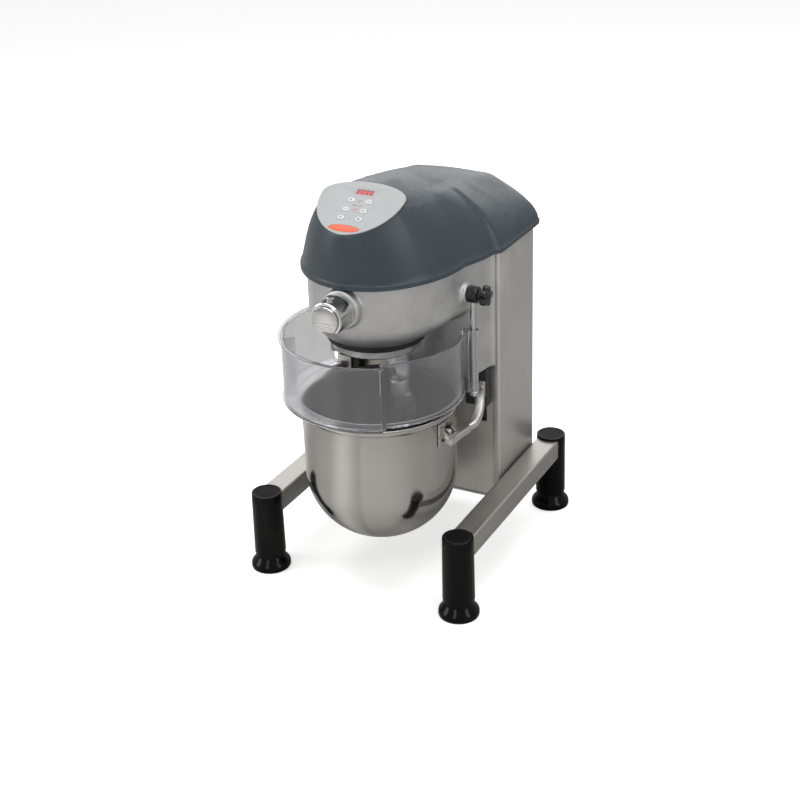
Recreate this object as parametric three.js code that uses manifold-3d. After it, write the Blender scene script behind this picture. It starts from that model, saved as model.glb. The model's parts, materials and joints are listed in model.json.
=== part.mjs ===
// Ten-litre table-top planetary mixer on an H-shaped tube frame, with a polished bowl,
// a clear bowl guard and a round accessory hub at the nose of the head.
// Millimetres, +Z up, front of the mixer towards -Y, origin under the middle on the table.
import * as THREE from 'three';
import { mergeVertices } from 'three/addons/utils/BufferGeometryUtils.js';
import Module from 'manifold-3d';

const wasm = await Module();
wasm.setup();

// ---- driving dimensions ------------------------------------------------------------
const GAP = 0.3;

const legX = 175;
const legY = 194;
const legRadius = 25;
const legTop = 139;
const legBottom = 27;
const roundSides = 18;
const footRadius = 33;
const railWidth = 40;
const railHeight = 36;
const railTop = 135;
const railWall = 2;

const columnHalf = 153;
const columnFront = 19;
const columnBack = 163;
const columnBottom = 95.3;
const rimZ = 542;
const sheet = 1.5;
const foldWidth = 12;
const panelRecess = 2;

const axisY = -112;
const noseCentreY = -60;
const noseHalf = 131;
const noseReach = 162;
const hoodRear = 184;
const hoodWall = 3;
const lipHeight = 9;

const castingInset = 8;
const castingWall = 7;
const castingTop = 534;
const castingFloor = 470;
const collarZ = 431;
const collarRadius = 80;
const pedestalHalf = 140;
const pedestalFront = -40;
const pedestalBottom = 339;

const hubZ = 503;
const hubRadius = 27;
const hubFlat = 485.5;
const hubEnd = -268;
const coverRadius = 22;
const coverSeat = 2;

const gearModule = 2.5;
const ringTeeth = 44;
const pinionTeeth = 14;
const gearZ = 437;
const gearHeight = 14;
const offset = gearModule * (ringTeeth - pinionTeeth) / 2;
const carrierRadius = 73.5;
const carrierBottom = 404;
const carrierTop = 428;
const shaftRadius = 10;

const beltZ = 566;
const beltHeight = 14;
const headPulleyRadius = 62;
const motorPulleyRadius = 24;
const motorY = 104;
const motorRadius = 54;
const motorBottom = 320;
const motorTop = 520;

const bowlRadius = 124.5;
const bowlBottom = 72;
const bowlBulge = 192;
const bowlRim = 311;
const bowlWall = 1.6;

const guardBottom = 322;
const guardTop = 428;
const guardWide = 152;
const guardNarrow = 137;
const guardWall = 3;
const guardStep = 30;
const guardEnd = 114;
const hingeX = 139;
const hingeY = -50;
const rodRadius = 5;
const bossZ = 487;

const armZ = 270;
const armHeight = 12;
const slideX = 75;
const slideY = 34;
const slideRadius = 5.5;
const blockInner = 99;
const blockOuter = 138;
const blockBottom = 268;
const blockTop = 336;
const cradleTravel = 50;

const panelFrontY = -217;
const panelFrontZ = 618;
const panelTilt = 26.5 * Math.PI / 180;
const crownSag = 17;

// ---- small shape tools -------------------------------------------------------------
// turns a closed geometry into a solid, with its faces pointing out whichever way it was drawn
function solid(geometry) {
  const bare = geometry.index ? geometry.toNonIndexed() : geometry.clone();
  bare.deleteAttribute('normal');
  bare.deleteAttribute('uv');
  const merged = mergeVertices(bare, 1e-4);
  const p = merged.attributes.position;
  const index = merged.index.array;
  const [a, b, c] = [new THREE.Vector3(), new THREE.Vector3(), new THREE.Vector3()];
  const triangles = [];
  let volume = 0;
  for (let i = 0; i < index.length; i += 3) {
    const [u, v, w] = [index[i], index[i + 1], index[i + 2]];
    if (u !== v && v !== w && w !== u) {
      triangles.push([u, v, w]);
      a.fromBufferAttribute(p, u);
      b.fromBufferAttribute(p, v);
      c.fromBufferAttribute(p, w);
      volume += a.dot(b.cross(c));
    }
  }
  const outward = volume < 0 ? triangles.map(([u, v, w]) => [u, w, v]) : triangles;
  const mesh = new wasm.Mesh({
    numProp: 3,
    vertProperties: new Float32Array(p.array),
    triVerts: new Uint32Array(outward.flat()),
  });
  return new wasm.Manifold(mesh);
}

function geometryOf(body) {
  const mesh = body.getMesh();
  const geometry = new THREE.BufferGeometry();
  geometry.setAttribute('position', new THREE.BufferAttribute(mesh.vertProperties, 3));
  geometry.setIndex(new THREE.BufferAttribute(mesh.triVerts, 1));
  return geometry;
}

function union(parts) {
  return parts.reduce((sum, part) => sum.add(part));
}

function box(x0, x1, y0, y1, z0, z1) {
  const geometry = new THREE.BoxGeometry(x1 - x0, y1 - y0, z1 - z0);
  geometry.translate((x0 + x1) / 2, (y0 + y1) / 2, (z0 + z1) / 2);
  return solid(geometry);
}

// a round bar standing along Z, moved to x, y
function bar(x, y, z0, z1, radius, sides = 24) {
  const geometry = new THREE.CylinderGeometry(radius, radius, z1 - z0, sides);
  geometry.rotateX(Math.PI / 2);
  geometry.translate(x, y, (z0 + z1) / 2);
  return solid(geometry);
}

// a round bar lying along Y
function barY(x, z, y0, y1, radius, sides = 24) {
  const geometry = new THREE.CylinderGeometry(radius, radius, y1 - y0, sides);
  geometry.translate(x, (y0 + y1) / 2, z);
  return solid(geometry);
}

// a round bar lying along X
function barX(y, z, x0, x1, radius, sides = 24) {
  const geometry = new THREE.CylinderGeometry(radius, radius, x1 - x0, sides);
  geometry.rotateZ(Math.PI / 2);
  geometry.translate((x0 + x1) / 2, y, z);
  return solid(geometry);
}

// a turned piece: its profile is a list of radius and height pairs around the axis
function turned(profile, x = 0, y = 0, sides = 32) {
  const points = profile.map(([r, z]) => new THREE.Vector2(r, z));
  if (profile[0][0] > 0 || profile[profile.length - 1][0] > 0) {
    points.push(points[0].clone());
  }
  const geometry = new THREE.LatheGeometry(points, sides);
  geometry.rotateX(Math.PI / 2);
  geometry.translate(x, y, 0);
  return solid(geometry);
}

function extruded(points, z0, z1, holes = [], steps = 1) {
  const shape = new THREE.Shape(points.map(([x, y]) => new THREE.Vector2(x, y)));
  for (const hole of holes) {
    shape.holes.push(new THREE.Path(hole.map(([x, y]) => new THREE.Vector2(x, y))));
  }
  const geometry = new THREE.ExtrudeGeometry(shape, { depth: z1 - z0, bevelEnabled: false, steps });
  geometry.translate(0, 0, z0);
  return geometry;
}

function prism(points, z0, z1, holes = []) {
  return solid(extruded(points, z0, z1, holes));
}

function circle(radius, sides, x = 0, y = 0) {
  const points = [];
  for (let i = 0; i < sides; i += 1) {
    const a = 2 * Math.PI * i / sides;
    points.push([x + radius * Math.cos(a), y + radius * Math.sin(a)]);
  }
  return points;
}

// a bar of rectangular section swept along a smooth curve through the given points
function swept(points, halfWidth, halfHeight, steps) {
  const curve = new THREE.CatmullRomCurve3(points.map((p) => new THREE.Vector3(...p)));
  const section = new THREE.Shape([
    new THREE.Vector2(-halfHeight, -halfWidth),
    new THREE.Vector2(halfHeight, -halfWidth),
    new THREE.Vector2(halfHeight, halfWidth),
    new THREE.Vector2(-halfHeight, halfWidth),
  ]);
  return new THREE.ExtrudeGeometry(section, { steps, extrudePath: curve, bevelEnabled: false });
}

function paint(color, roughness, metalness, more = {}) {
  return new THREE.MeshStandardMaterial({ color, roughness, metalness, ...more });
}

const brushed = () => paint(0x9b9790, 0.38, 0.95);
const castAlloy = () => paint(0xa6a39d, 0.45, 0.85);
const polished = () => paint(0xc4c2bd, 0.15, 1);
const steel = () => paint(0x8c8d8f, 0.4, 0.9);
const blackPlastic = () => paint(0x16171a, 0.45, 0);
const capPlastic = () => paint(0x2c2e31, 0.7, 0);
const slate = () => paint(0x4b555c, 0.4, 0);
const rubber = () => paint(0x141414, 0.7, 0);

const mixer = new THREE.Group();

function place(name, body, material) {
  const geometry = body.isBufferGeometry ? body : geometryOf(body);
  const mesh = new THREE.Mesh(geometry, material);
  mesh.name = name;
  mixer.add(mesh);
  return mesh;
}

// ---- H frame -----------------------------------------------------------------------
// square tube, open at both ends, butting against the saddles of the two leg posts
function makeRail() {
  const half = railWidth / 2;
  const end = legY - legRadius - 4 - GAP;
  const outer = box(-half, half, -end, end, railTop - railHeight, railTop);
  const inner = box(
    -half + railWall, half - railWall, -end - 1, end + 1,
    railTop - railHeight + railWall, railTop - railWall,
  );
  return outer.subtract(inner);
}

// moulded post: a slightly flared tube, closed near the top, with a saddle for the rail end
function makePost() {
  const seat = 21.6;
  const post = turned([
    [0, legTop - 6], [0, legTop - 3.2], [seat, legTop - 3.2], [seat, legTop],
    [legRadius - 1, legTop], [legRadius, legTop - 1.2], [legRadius + 1, legBottom + 4],
    [legRadius + 0.4, legBottom], [20, legBottom], [19, legTop - 6],
  ], 0, 0, roundSides);
  const saddle = box(-railWidth / 2 - 3, railWidth / 2 + 3, 15, legRadius + 4, 96, legTop - 1);
  const bore = bar(0, 0, 90, legTop - 6, 19.5, roundSides);
  return post.add(saddle.subtract(bore.add(bar(0, 0, legTop - 3.2, legTop + 2, seat, roundSides))));
}

function makeCap() {
  return turned([
    [0, legTop - 2.9], [21.2, legTop - 2.9], [21.2, legTop - 0.4], [19.8, legTop + 0.8],
    [0, legTop + 0.8],
  ], 0, 0, roundSides);
}

// bell-shaped foot with a stem that plugs into the post
function makeFoot() {
  return turned([
    [0, 0], [footRadius - 2, 0], [footRadius, 2.5], [footRadius - 0.5, 9], [29, 15],
    [24.5, 20], [22, 23.5], [22, legBottom - GAP], [18.4, legBottom - GAP],
    [18.4, 62], [0, 62],
  ], 0, 0, roundSides);
}

for (const [side, x] of [['left', -legX], ['right', legX]]) {
  place(`rail_${side}`, makeRail(), brushed()).position.x = x;
  for (const [end, y] of [['front', -legY], ['rear', legY]]) {
    const post = place(`leg_post_${end}_${side}`, makePost(), blackPlastic());
    post.position.set(x, y, 0);
    post.rotation.z = y < 0 ? 0 : Math.PI;
    place(`leg_cap_${end}_${side}`, makeCap(), capPlastic()).position.set(x, y, 0);
    place(`foot_${end}_${side}`, makeFoot(), blackPlastic()).position.set(x, y, 0);
  }
}

// ---- column ------------------------------------------------------------------------
// side cheek folded inwards at the front and at the back
function makeCheek() {
  const x = columnHalf;
  const outline = [
    [x, columnFront], [x, columnBack], [x - foldWidth, columnBack],
    [x - foldWidth, columnBack - sheet], [x - sheet, columnBack - sheet],
    [x - sheet, columnFront + sheet], [x - foldWidth, columnFront + sheet],
    [x - foldWidth, columnFront],
  ];
  return prism(outline, columnBottom, rimZ - 1);
}

function mirrored(body) {
  return body.mirror([1, 0, 0]);
}

// tray that ties the two rails together and closes the column from below
function makeBasePlate() {
  const half = legX - railWidth / 2 - GAP;
  const floor = box(-half, half, columnFront, columnBack, 92, 95);
  const vents = [];
  for (let i = -3; i <= 3; i += 1) {
    vents.push(box(i * 26 - 4, i * 26 + 4, 110, 146, 90, 97));
  }
  return floor.subtract(union(vents));
}

// front sheet with two upright slots for the bowl cradle
function makeFrontPanel() {
  const half = columnHalf - sheet - GAP;
  const y = columnFront + panelRecess;
  const panel = box(-half, half, y, y + sheet, columnBottom, rimZ - 1.5);
  const slotLow = blockBottom - cradleTravel + 14;
  const slots = [-1, 1].map((s) => {
    const a = s * (blockInner + 7);
    const b = s * (blockOuter - 9);
    return box(Math.min(a, b), Math.max(a, b), y - 5, y + 5, slotLow, blockTop - 6);
  });
  const window = box(-120, 120, y - 5, y + 5, 440, rimZ + 1);
  return panel.subtract(union(slots)).subtract(window);
}

function makeBackCover() {
  const half = columnHalf - 2;
  const y = columnBack + GAP;
  const cover = box(-half, half, y, y + sheet, columnBottom + 4, rimZ - 12);
  const cuts = [];
  for (let row = 0; row < 6; row += 1) {
    for (const x of [-52, 52]) {
      cuts.push(box(x - 36, x + 36, y - 2, y + 4, 150 + row * 14, 155 + row * 14));
    }
  }
  cuts.push(barY(-110, 130, y - 2, y + 4, 9.3, 20));
  return cover.subtract(union(cuts));
}

// pressure gland where the supply cord enters, empty
function makeGland() {
  const y = columnBack - 8;
  const shell = union([
    barY(-110, 130, y, y + 22, 9, 20),
    barY(-110, 130, columnBack + sheet + 2 * GAP, columnBack + 9, 13, 6),
  ]);
  return shell.subtract(barY(-110, 130, y - 2, y + 30, 5, 20));
}

// welded mast: two box posts, a shelf that hangs the motor, a flange for the head and a
// bracket that holds the upper ends of the slide rods
function makeMast() {
  const shelfTop = 529;
  const posts = [-1, 1].map((s) => {
    const tube = box(s < 0 ? -146 : 104, s < 0 ? -104 : 146, 48, 98, columnBottom, shelfTop - 2);
    const hollow = box(s < 0 ? -143 : 107, s < 0 ? -107 : 143, 51, 95, 90, shelfTop - 5);
    return tube.subtract(hollow);
  });
  const shelf = box(-146, 146, 28, 158, shelfTop - 5, shelfTop);
  const flange = box(-110, 110, 28, 34, 428, shelfTop);
  const bracket = box(-90, 90, 28, 42, 428, 440);
  const rods = [-1, 1].map((s) => bar(s * slideX, slideY, 420, 437, slideRadius + GAP, roundSides));
  const motorHole = bar(0, motorY, 515, 535, 28, 32);
  return union([...posts, shelf, flange, bracket]).subtract(union(rods)).subtract(motorHole);
}

place('column_side_right', makeCheek(), brushed());
place('column_side_left', mirrored(makeCheek()), brushed());
place('base_plate', makeBasePlate(), brushed());
place('column_front_panel', makeFrontPanel(), brushed());
place('column_back_cover', makeBackCover(), brushed());
place('cable_gland', makeGland(), blackPlastic());
place('mast', makeMast(), steel());

// ---- head outline ------------------------------------------------------------------
// the head seen from above: a round nose that widens to the column and runs straight back
function headOutline(inset, rear, noseSteps = 10) {
  const right = [];
  for (let i = 0; i <= noseSteps; i += 1) {
    const a = (i / noseSteps) * (Math.PI / 2);
    right.push([
      (noseHalf - inset) * Math.sin(a),
      noseCentreY - (noseReach - inset) * Math.cos(a),
    ]);
  }
  right.push([144 - inset, -25]);
  right.push([150 - inset, columnFront - 10]);
  right.push([columnHalf + 5 - inset, columnFront - 3]);
  right.push([columnHalf + 5 - inset, 90]);
  right.push([columnHalf + 5 - inset, rear - 14]);
  right.push([columnHalf + 1 - inset, rear - 4]);
  right.push([columnHalf - 7 - inset, rear]);
  const left = right.slice(1).reverse().map(([x, y]) => [-x, y]);
  return right.concat(left);
}

// height of the sloping panel face
function panelHeight(y) {
  return panelFrontZ + (y - panelFrontY) * Math.tan(panelTilt);
}

// height of the long back of the hood along its middle
function backHeight(y) {
  return 670 - (y + 108) * 0.14 - Math.max(0, y - 20) * 0.08;
}

function crown(y) {
  return Math.min(panelHeight(y), backHeight(y));
}

// shrinks the rim outline inwards as it rises; level runs from 0 at the rim to 1 at the crown
function liftHood(geometry, z0, lower) {
  const p = geometry.attributes.position;
  for (let i = 0; i < p.count; i += 1) {
    const level = p.getZ(i);
    const y = p.getY(i);
    const back = THREE.MathUtils.smoothstep(y, -60, 120);
    const nosePinch = 0.24 * level + 0.13 * Math.pow(level, 4);
    const backPinch = 0.05 * level + 0.42 * Math.pow(level, 4);
    const pinch = Math.min(0.7, THREE.MathUtils.lerp(nosePinch, backPinch, back));
    const reach = y < noseCentreY ? 1 - 0.045 * level * level : 1 - 0.15 * level * level;
    const newY = noseCentreY + (y - noseCentreY) * reach;
    const top = crown(newY) - lower;
    const z = level > 1 ? 740 : z0 + level * (top - z0);
    p.setXYZ(i, p.getX(i) * (1 - pinch), newY, z);
  }
  return geometry;
}

// everything under a height line drawn from the side, sagging towards both flanks and less so
// near the rear
function underLine(heights, z0, sag) {
  const points = [[heights[0][0], z0 - 5], ...heights, [heights[heights.length - 1][0], z0 - 5]];
  const geometry = extruded(points, -180, 180, [], sag > 0 ? 12 : 1);
  geometry.rotateX(Math.PI / 2);
  geometry.rotateZ(Math.PI / 2);
  const p = geometry.attributes.position;
  for (let i = 0; i < p.count; i += 1) {
    if (p.getZ(i) > z0) {
      const flat = 0.75 * THREE.MathUtils.smoothstep(p.getY(i), 40, 135);
      p.setZ(i, p.getZ(i) - sag * (1 - flat) * Math.pow(p.getX(i) / 80, 2));
    }
  }
  return solid(geometry);
}

function hoodBody(inset, z0, lower) {
  const flat = extruded(headOutline(inset, hoodRear - inset), 0, 1.2, [], 6);
  const back = [-260, -60, 20, 60, 90, 120, 150, 220].map((y) => [y, backHeight(y) - lower]);
  const panel = [-260, 240].map((y) => [y, panelHeight(y) - lower]);
  return solid(liftHood(flat, z0, lower))
    .intersect(underLine(back, z0, crownSag))
    .intersect(underLine(panel, z0, 0));
}

const panelHalf = 71;
const panelLow = 84;
const panelHigh = 30;

// outline of the control panel: a shield with bowed sides, its round point towards the nose
function panelOutline(grow) {
  const points = [];
  const steps = 28;
  for (let i = 0; i < steps; i += 1) {
    const a = 2 * Math.PI * i / steps;
    const square = Math.sin(a) < 0 ? 1.12 : 1;
    const x = Math.sign(Math.cos(a)) * Math.pow(Math.abs(Math.cos(a)), square) * (panelHalf + grow);
    const reach = Math.sin(a) < 0 ? panelLow : panelHigh;
    points.push([x, panelLow + 4 + Math.sin(a) * (reach + grow)]);
  }
  return points;
}

// turns a piece drawn flat on the panel into its sloping place on the hood
function onPanel(body) {
  const geometry = geometryOf(body);
  geometry.rotateX(panelTilt);
  geometry.translate(0, panelFrontY, panelFrontZ);
  return solid(geometry);
}

const buttonColumns = [-15, 15];
const buttonRows = [38, 56, 76];

function buttonPlaces() {
  return buttonRows.flatMap((y) => buttonColumns.map((x) => [x, y]));
}

function oval(x, y, halfX, halfY, sides = 20) {
  return circle(1, sides).map(([u, v]) => [x + u * halfX, y + v * halfY]);
}

function makeHood() {
  const shell = hoodBody(0, rimZ, 0).subtract(hoodBody(hoodWall, rimZ - 1, hoodWall));
  const lipOuter = headOutline(-2, hoodRear + 2);
  const lipInner = headOutline(hoodWall, hoodRear - hoodWall);
  const lip = prism(lipOuter, rimZ - lipHeight + 2, rimZ + 2, [lipInner]);
  const recess = onPanel(prism(panelOutline(1.2), -1.8, 12));
  const wells = buttonPlaces().map(([x, y]) => onPanel(prism(oval(x, y, 8, 6.5, 12), -20, 2)));
  wells.push(onPanel(prism([[-17, 87], [17, 87], [17, 103], [-17, 103]], -20, 2)));
  return shell.add(lip).subtract(recess).subtract(union(wells));
}

function makePanel() {
  const sheetBody = prism(panelOutline(0), -1.5, 0);
  const holes = buttonPlaces().map(([x, y]) => prism(oval(x, y, 6.6, 5.1, 16), -5, 5));
  holes.push(prism([[-14.3, 89.7], [14.3, 89.7], [14.3, 100.3], [-14.3, 100.3]], -5, 5));
  holes.push(prism(oval(0, 17, 26.3, 7.3, 24), -5, 5));
  return onPanel(sheetBody.subtract(union(holes)));
}

place('hood', makeHood(), slate());
place('control_panel', makePanel(), paint(0xc3c8ca, 0.5, 0));
place('display_window', onPanel(prism([[-14, 90], [14, 90], [14, 100], [-14, 100]], -4, -0.2)),
  paint(0x7a1420, 0.2, 0));
place('panel_badge', onPanel(prism(oval(0, 17, 26, 7, 24), -1.4, 0.2)), paint(0xd8502c, 0.45, 0));
buttonPlaces().forEach(([x, y], i) => {
  const cap = prism(oval(x, y, 6.3, 4.8, 16), -5.5, 0.8);
  place(`button_${i + 1}`, onPanel(cap), paint(0xf0f1f1, 0.45, 0));
});
place('control_board', onPanel(prism([[-40, 30], [40, 30], [40, 104], [-40, 104]], -8.6, -7)),
  paint(0x1f5a34, 0.6, 0));

// ---- head casting ------------------------------------------------------------------
// underside that narrows from the oval nose of the head down to the round collar
function castingChin() {
  const sides = 32;
  const flat = extruded(circle(1, sides), 0, 1, [], 4);
  const p = flat.attributes.position;
  const low = collarZ;
  const high = castingFloor + 6;
  const chinReach = noseReach - castingInset - 1 + axisY - noseCentreY;
  for (let i = 0; i < p.count; i += 1) {
    const level = p.getZ(i);
    const ease = Math.sin(level * Math.PI / 2);
    const halfX = THREE.MathUtils.lerp(collarRadius, noseHalf - castingInset - 1, ease);
    const front = THREE.MathUtils.lerp(collarRadius, chinReach, ease);
    const rear = THREE.MathUtils.lerp(collarRadius, collarRadius + 20, ease);
    const v = p.getY(i);
    p.setXYZ(
      i,
      p.getX(i) * halfX,
      axisY + v * (v < 0 ? front : rear),
      THREE.MathUtils.lerp(low, high, level),
    );
  }
  return solid(flat);
}

function castingOutline(inset) {
  return cutRear(headOutline(castingInset + inset, hoodRear), columnFront - GAP - inset);
}

// keeps the part of an outline in front of a cross line
function cutRear(outline, rear) {
  const front = outline.filter(([, y]) => y < rear - 2);
  const rightCount = front.findIndex(([x], i) => i > 0 && x < 0);
  const right = front.slice(0, rightCount);
  const left = front.slice(rightCount);
  const edge = right[right.length - 1][0];
  return right.concat([[edge, rear], [-edge, rear]]).concat(left);
}

function makeCasting() {
  const tray = prism(castingOutline(0), castingFloor, castingTop);
  const block = box(-200, 200, pedestalFront, 100, pedestalBottom - 1, castingTop + 1);
  const aroundCarrier = bar(0, axisY, pedestalBottom - 5, collarZ, collarRadius + 5, 36);
  const pedestal = prism(castingOutline(0), pedestalBottom, castingTop).intersect(block)
    .subtract(aroundCarrier);
  const tongue = box(-110, 110, columnFront - 2, 27.6, 455, 520);
  const boss = barY(0, hubZ, -226, -150, hubRadius + 4, 28);
  const knobPad = barX(hingeY, bossZ, 115, 132, 15, 24);
  const outer = union([tray, castingChin(), pedestal, tongue, boss, knobPad]);
  const cavity = prism(castingOutline(castingWall), castingFloor + 8, castingTop + 10);
  const pocket = box(
    -pedestalHalf + 18, pedestalHalf - 18, pedestalFront + 20, columnFront - 8,
    pedestalBottom - 5, castingTop + 10,
  );
  const gearBore = bar(0, axisY, collarZ - 5, gearZ + gearHeight + 1, 67.4, 36);
  const shaftBore = bar(0, axisY, gearZ, castingFloor + 20, 21.3, 32);
  const hubBore = barY(0, hubZ, -240, -140, 18, 24);
  const bolt = barX(hingeY, bossZ, 100, 160, 4.3, 16);
  return outer.subtract(cavity).subtract(pocket).subtract(gearBore).subtract(shaftBore)
    .subtract(hubBore).subtract(bolt);
}

place('head_casting', makeCasting(), castAlloy());

// ---- accessory hub -----------------------------------------------------------------
function makeHubHousing() {
  const front = -226 - GAP;
  const barrel = barY(0, hubZ, hubEnd, front, hubRadius, 32);
  const below = box(-hubRadius - 1, hubRadius + 1, hubEnd - 1, front + 1, hubZ - 40, hubFlat);
  const bore = barY(0, hubZ, hubEnd - 5, front + 5, 14, 24);
  const seat = barY(0, hubZ, hubEnd - 1, hubEnd + coverSeat, coverRadius + GAP, 32);
  const screwHole = bar(0, hubEnd + 18, hubZ + 5, hubZ + 40, 4.3, 16);
  return barrel.subtract(below).subtract(bore).subtract(seat).subtract(screwHole);
}

function makeHubSocket() {
  const spindle = barY(0, hubZ, -232, -150, 12, 24);
  const square = box(-5.5, 5.5, -240, -200, hubZ - 5.5, hubZ + 5.5);
  return spindle.subtract(square);
}

function makeHubCover() {
  const back = hubEnd + coverSeat - GAP;
  const disc = barY(0, hubZ, hubEnd - 4, back, coverRadius, 32);
  const plate = disc.intersect(box(-30, 30, hubEnd - 5, back + 1, hubFlat + 1, hubZ + 30));
  const plug = barY(0, hubZ, hubEnd - 1, hubEnd + 24, 13.6, 24);
  return plate.add(plug);
}

function makeHubScrew() {
  const head = bar(0, hubEnd + 18, hubZ + hubRadius + GAP, hubZ + hubRadius + 5, 6.5, 16);
  const stem = bar(0, hubEnd + 18, hubZ + 17, hubZ + hubRadius + 1, 3.9, 16);
  const slot = box(-8, 8, hubEnd + 17, hubEnd + 19, hubZ + hubRadius + 3.4, hubZ + hubRadius + 7);
  return head.add(stem).subtract(slot);
}

place('hub_housing', makeHubHousing(), polished());
place('hub_socket', makeHubSocket(), steel());
place('hub_cover', makeHubCover(), polished());
place('hub_screw', makeHubScrew(), steel());

// ---- planetary drive ---------------------------------------------------------------
// outline of a spur gear with involute flanks, thinned a little so that it runs freely
function gearOutline(teeth, addendum, dedendum, thin, flank) {
  const pitch = gearModule * teeth / 2;
  const base = pitch * Math.cos(20 * Math.PI / 180);
  const outer = pitch + addendum;
  const root = pitch - dedendum;
  const involute = (r) => {
    const t = Math.sqrt(Math.max(0, (r * r) / (base * base) - 1));
    return t - Math.atan(t);
  };
  const half = Math.PI / (2 * teeth) - thin / (2 * pitch) + involute(pitch);
  const points = [];
  for (let i = 0; i < teeth; i += 1) {
    const middle = 2 * Math.PI * i / teeth;
    const side = [];
    for (let k = 0; k <= flank; k += 1) {
      const r = THREE.MathUtils.lerp(Math.max(root, base * 0.995), outer, k / flank);
      side.push([r, half - involute(r)]);
    }
    const low = root < side[0][0] - 0.05 ? [[root, side[0][1]]] : [];
    const rising = low.concat(side);
    for (const [r, a] of rising) {
      points.push([r * Math.cos(middle - a), r * Math.sin(middle - a)]);
    }
    for (const [r, a] of rising.slice().reverse()) {
      points.push([r * Math.cos(middle + a), r * Math.sin(middle + a)]);
    }
  }
  return points;
}

function makeRingGear() {
  const space = gearOutline(ringTeeth, 1.25 * gearModule, 0.75 * gearModule, -0.35, 1);
  return prism(circle(67, 36), gearZ, gearZ + gearHeight, [space]);
}

// the pinion's tooth points outwards along +X and sits in a space of the ring
function makePinion() {
  const outline = gearOutline(pinionTeeth, 0.8 * gearModule, 1.15 * gearModule, 0.35, 2);
  return prism(outline, gearZ + 1, gearZ + gearHeight - 1, [circle(7.3, 20)]);
}

function makeCarrier() {
  const disc = turned([
    [0, carrierBottom], [carrierRadius - 10, carrierBottom], [carrierRadius - 3, carrierBottom + 4],
    [carrierRadius - 3, carrierBottom + 14], [carrierRadius, carrierBottom + 16],
    [carrierRadius, carrierTop], [0, carrierTop],
  ], 0, 0, 32);
  const shaftHole = bar(0, 0, carrierBottom - 5, carrierTop + 5, shaftRadius + GAP, 24);
  const planetHole = bar(offset, 0, carrierBottom - 5, carrierTop + 5, 16.3, 24);
  return disc.subtract(shaftHole).subtract(planetHole);
}

function makePlanetShaft() {
  const barrel = turned([
    [0, 352], [16, 352], [18, 355], [18, 396], [16, 400], [16, carrierTop + 4],
    [7, carrierTop + 4], [7, gearZ + gearHeight + 1], [0, gearZ + gearHeight + 1],
  ], offset, 0, 24);
  const socket = bar(offset, 0, 340, 394, 10.3, 20);
  const notch = box(offset - 4.3, offset + 4.3, -25, 25, 345, 368);
  return barrel.subtract(socket).subtract(notch);
}

function makeMainShaft() {
  return turned([
    [0, carrierBottom + 2], [shaftRadius, carrierBottom + 2], [shaftRadius, carrierTop + 3],
    [13, carrierTop + 3], [13, gearZ + gearHeight + 4], [shaftRadius, gearZ + gearHeight + 4],
    [shaftRadius, beltZ + beltHeight + 6], [0, beltZ + beltHeight + 6],
  ], 0, 0, 24);
}

function makeHeadPulley() {
  const r = headPulleyRadius;
  return turned([
    [shaftRadius + GAP, beltZ - 4], [18, beltZ - 4], [18, beltZ - 1], [r + 3, beltZ - 3],
    [r + 3, beltZ - 1], [r, beltZ - 0.6], [r, beltZ + beltHeight + 0.6],
    [r + 3, beltZ + beltHeight + 1], [r + 3, beltZ + beltHeight + 3], [r - 8, beltZ + 6],
    [shaftRadius + GAP, beltZ + 6],
  ], 0, 0, 28);
}

function makeMotorPulley() {
  const r = motorPulleyRadius;
  return turned([
    [8.3, beltZ - 3], [r + 3, beltZ - 3], [r + 3, beltZ - 1], [r, beltZ - 0.6],
    [r, beltZ + beltHeight + 0.6], [r + 3, beltZ + beltHeight + 1],
    [r + 3, beltZ + beltHeight + 3], [8.3, beltZ + beltHeight + 3],
  ], 0, 0, 24);
}

// closed loop of belt round the two pulleys
function beltLoop(extra) {
  const distance = motorY - axisY;
  const lean = Math.asin((headPulleyRadius - motorPulleyRadius) / distance);
  const points = [];
  const steps = 16;
  for (let i = 0; i <= steps; i += 1) {
    const a = Math.PI - lean + (Math.PI + 2 * lean) * i / steps;
    const r = headPulleyRadius + extra;
    points.push([r * Math.cos(a), axisY + r * Math.sin(a)]);
  }
  for (let i = 0; i <= steps; i += 1) {
    const a = lean + (Math.PI - 2 * lean) * i / steps;
    const r = motorPulleyRadius + extra;
    points.push([r * Math.cos(a), motorY + r * Math.sin(a)]);
  }
  return points;
}

function makeMotor() {
  const body = turned([
    [0, motorBottom], [motorRadius - 8, motorBottom], [motorRadius, motorBottom + 8],
    [motorRadius, motorTop], [motorRadius + 2, motorTop], [motorRadius + 2, 523.7],
    [24, 523.7], [24, 532], [8, 532], [8, beltZ + beltHeight + 5], [0, beltZ + beltHeight + 5],
  ], 0, motorY, roundSides);
  return body;
}

const gearAxis = new THREE.Group();
gearAxis.position.y = axisY;
mixer.add(gearAxis);

function placeOnAxis(name, body, material) {
  gearAxis.add(place(name, body, material));
}

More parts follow.
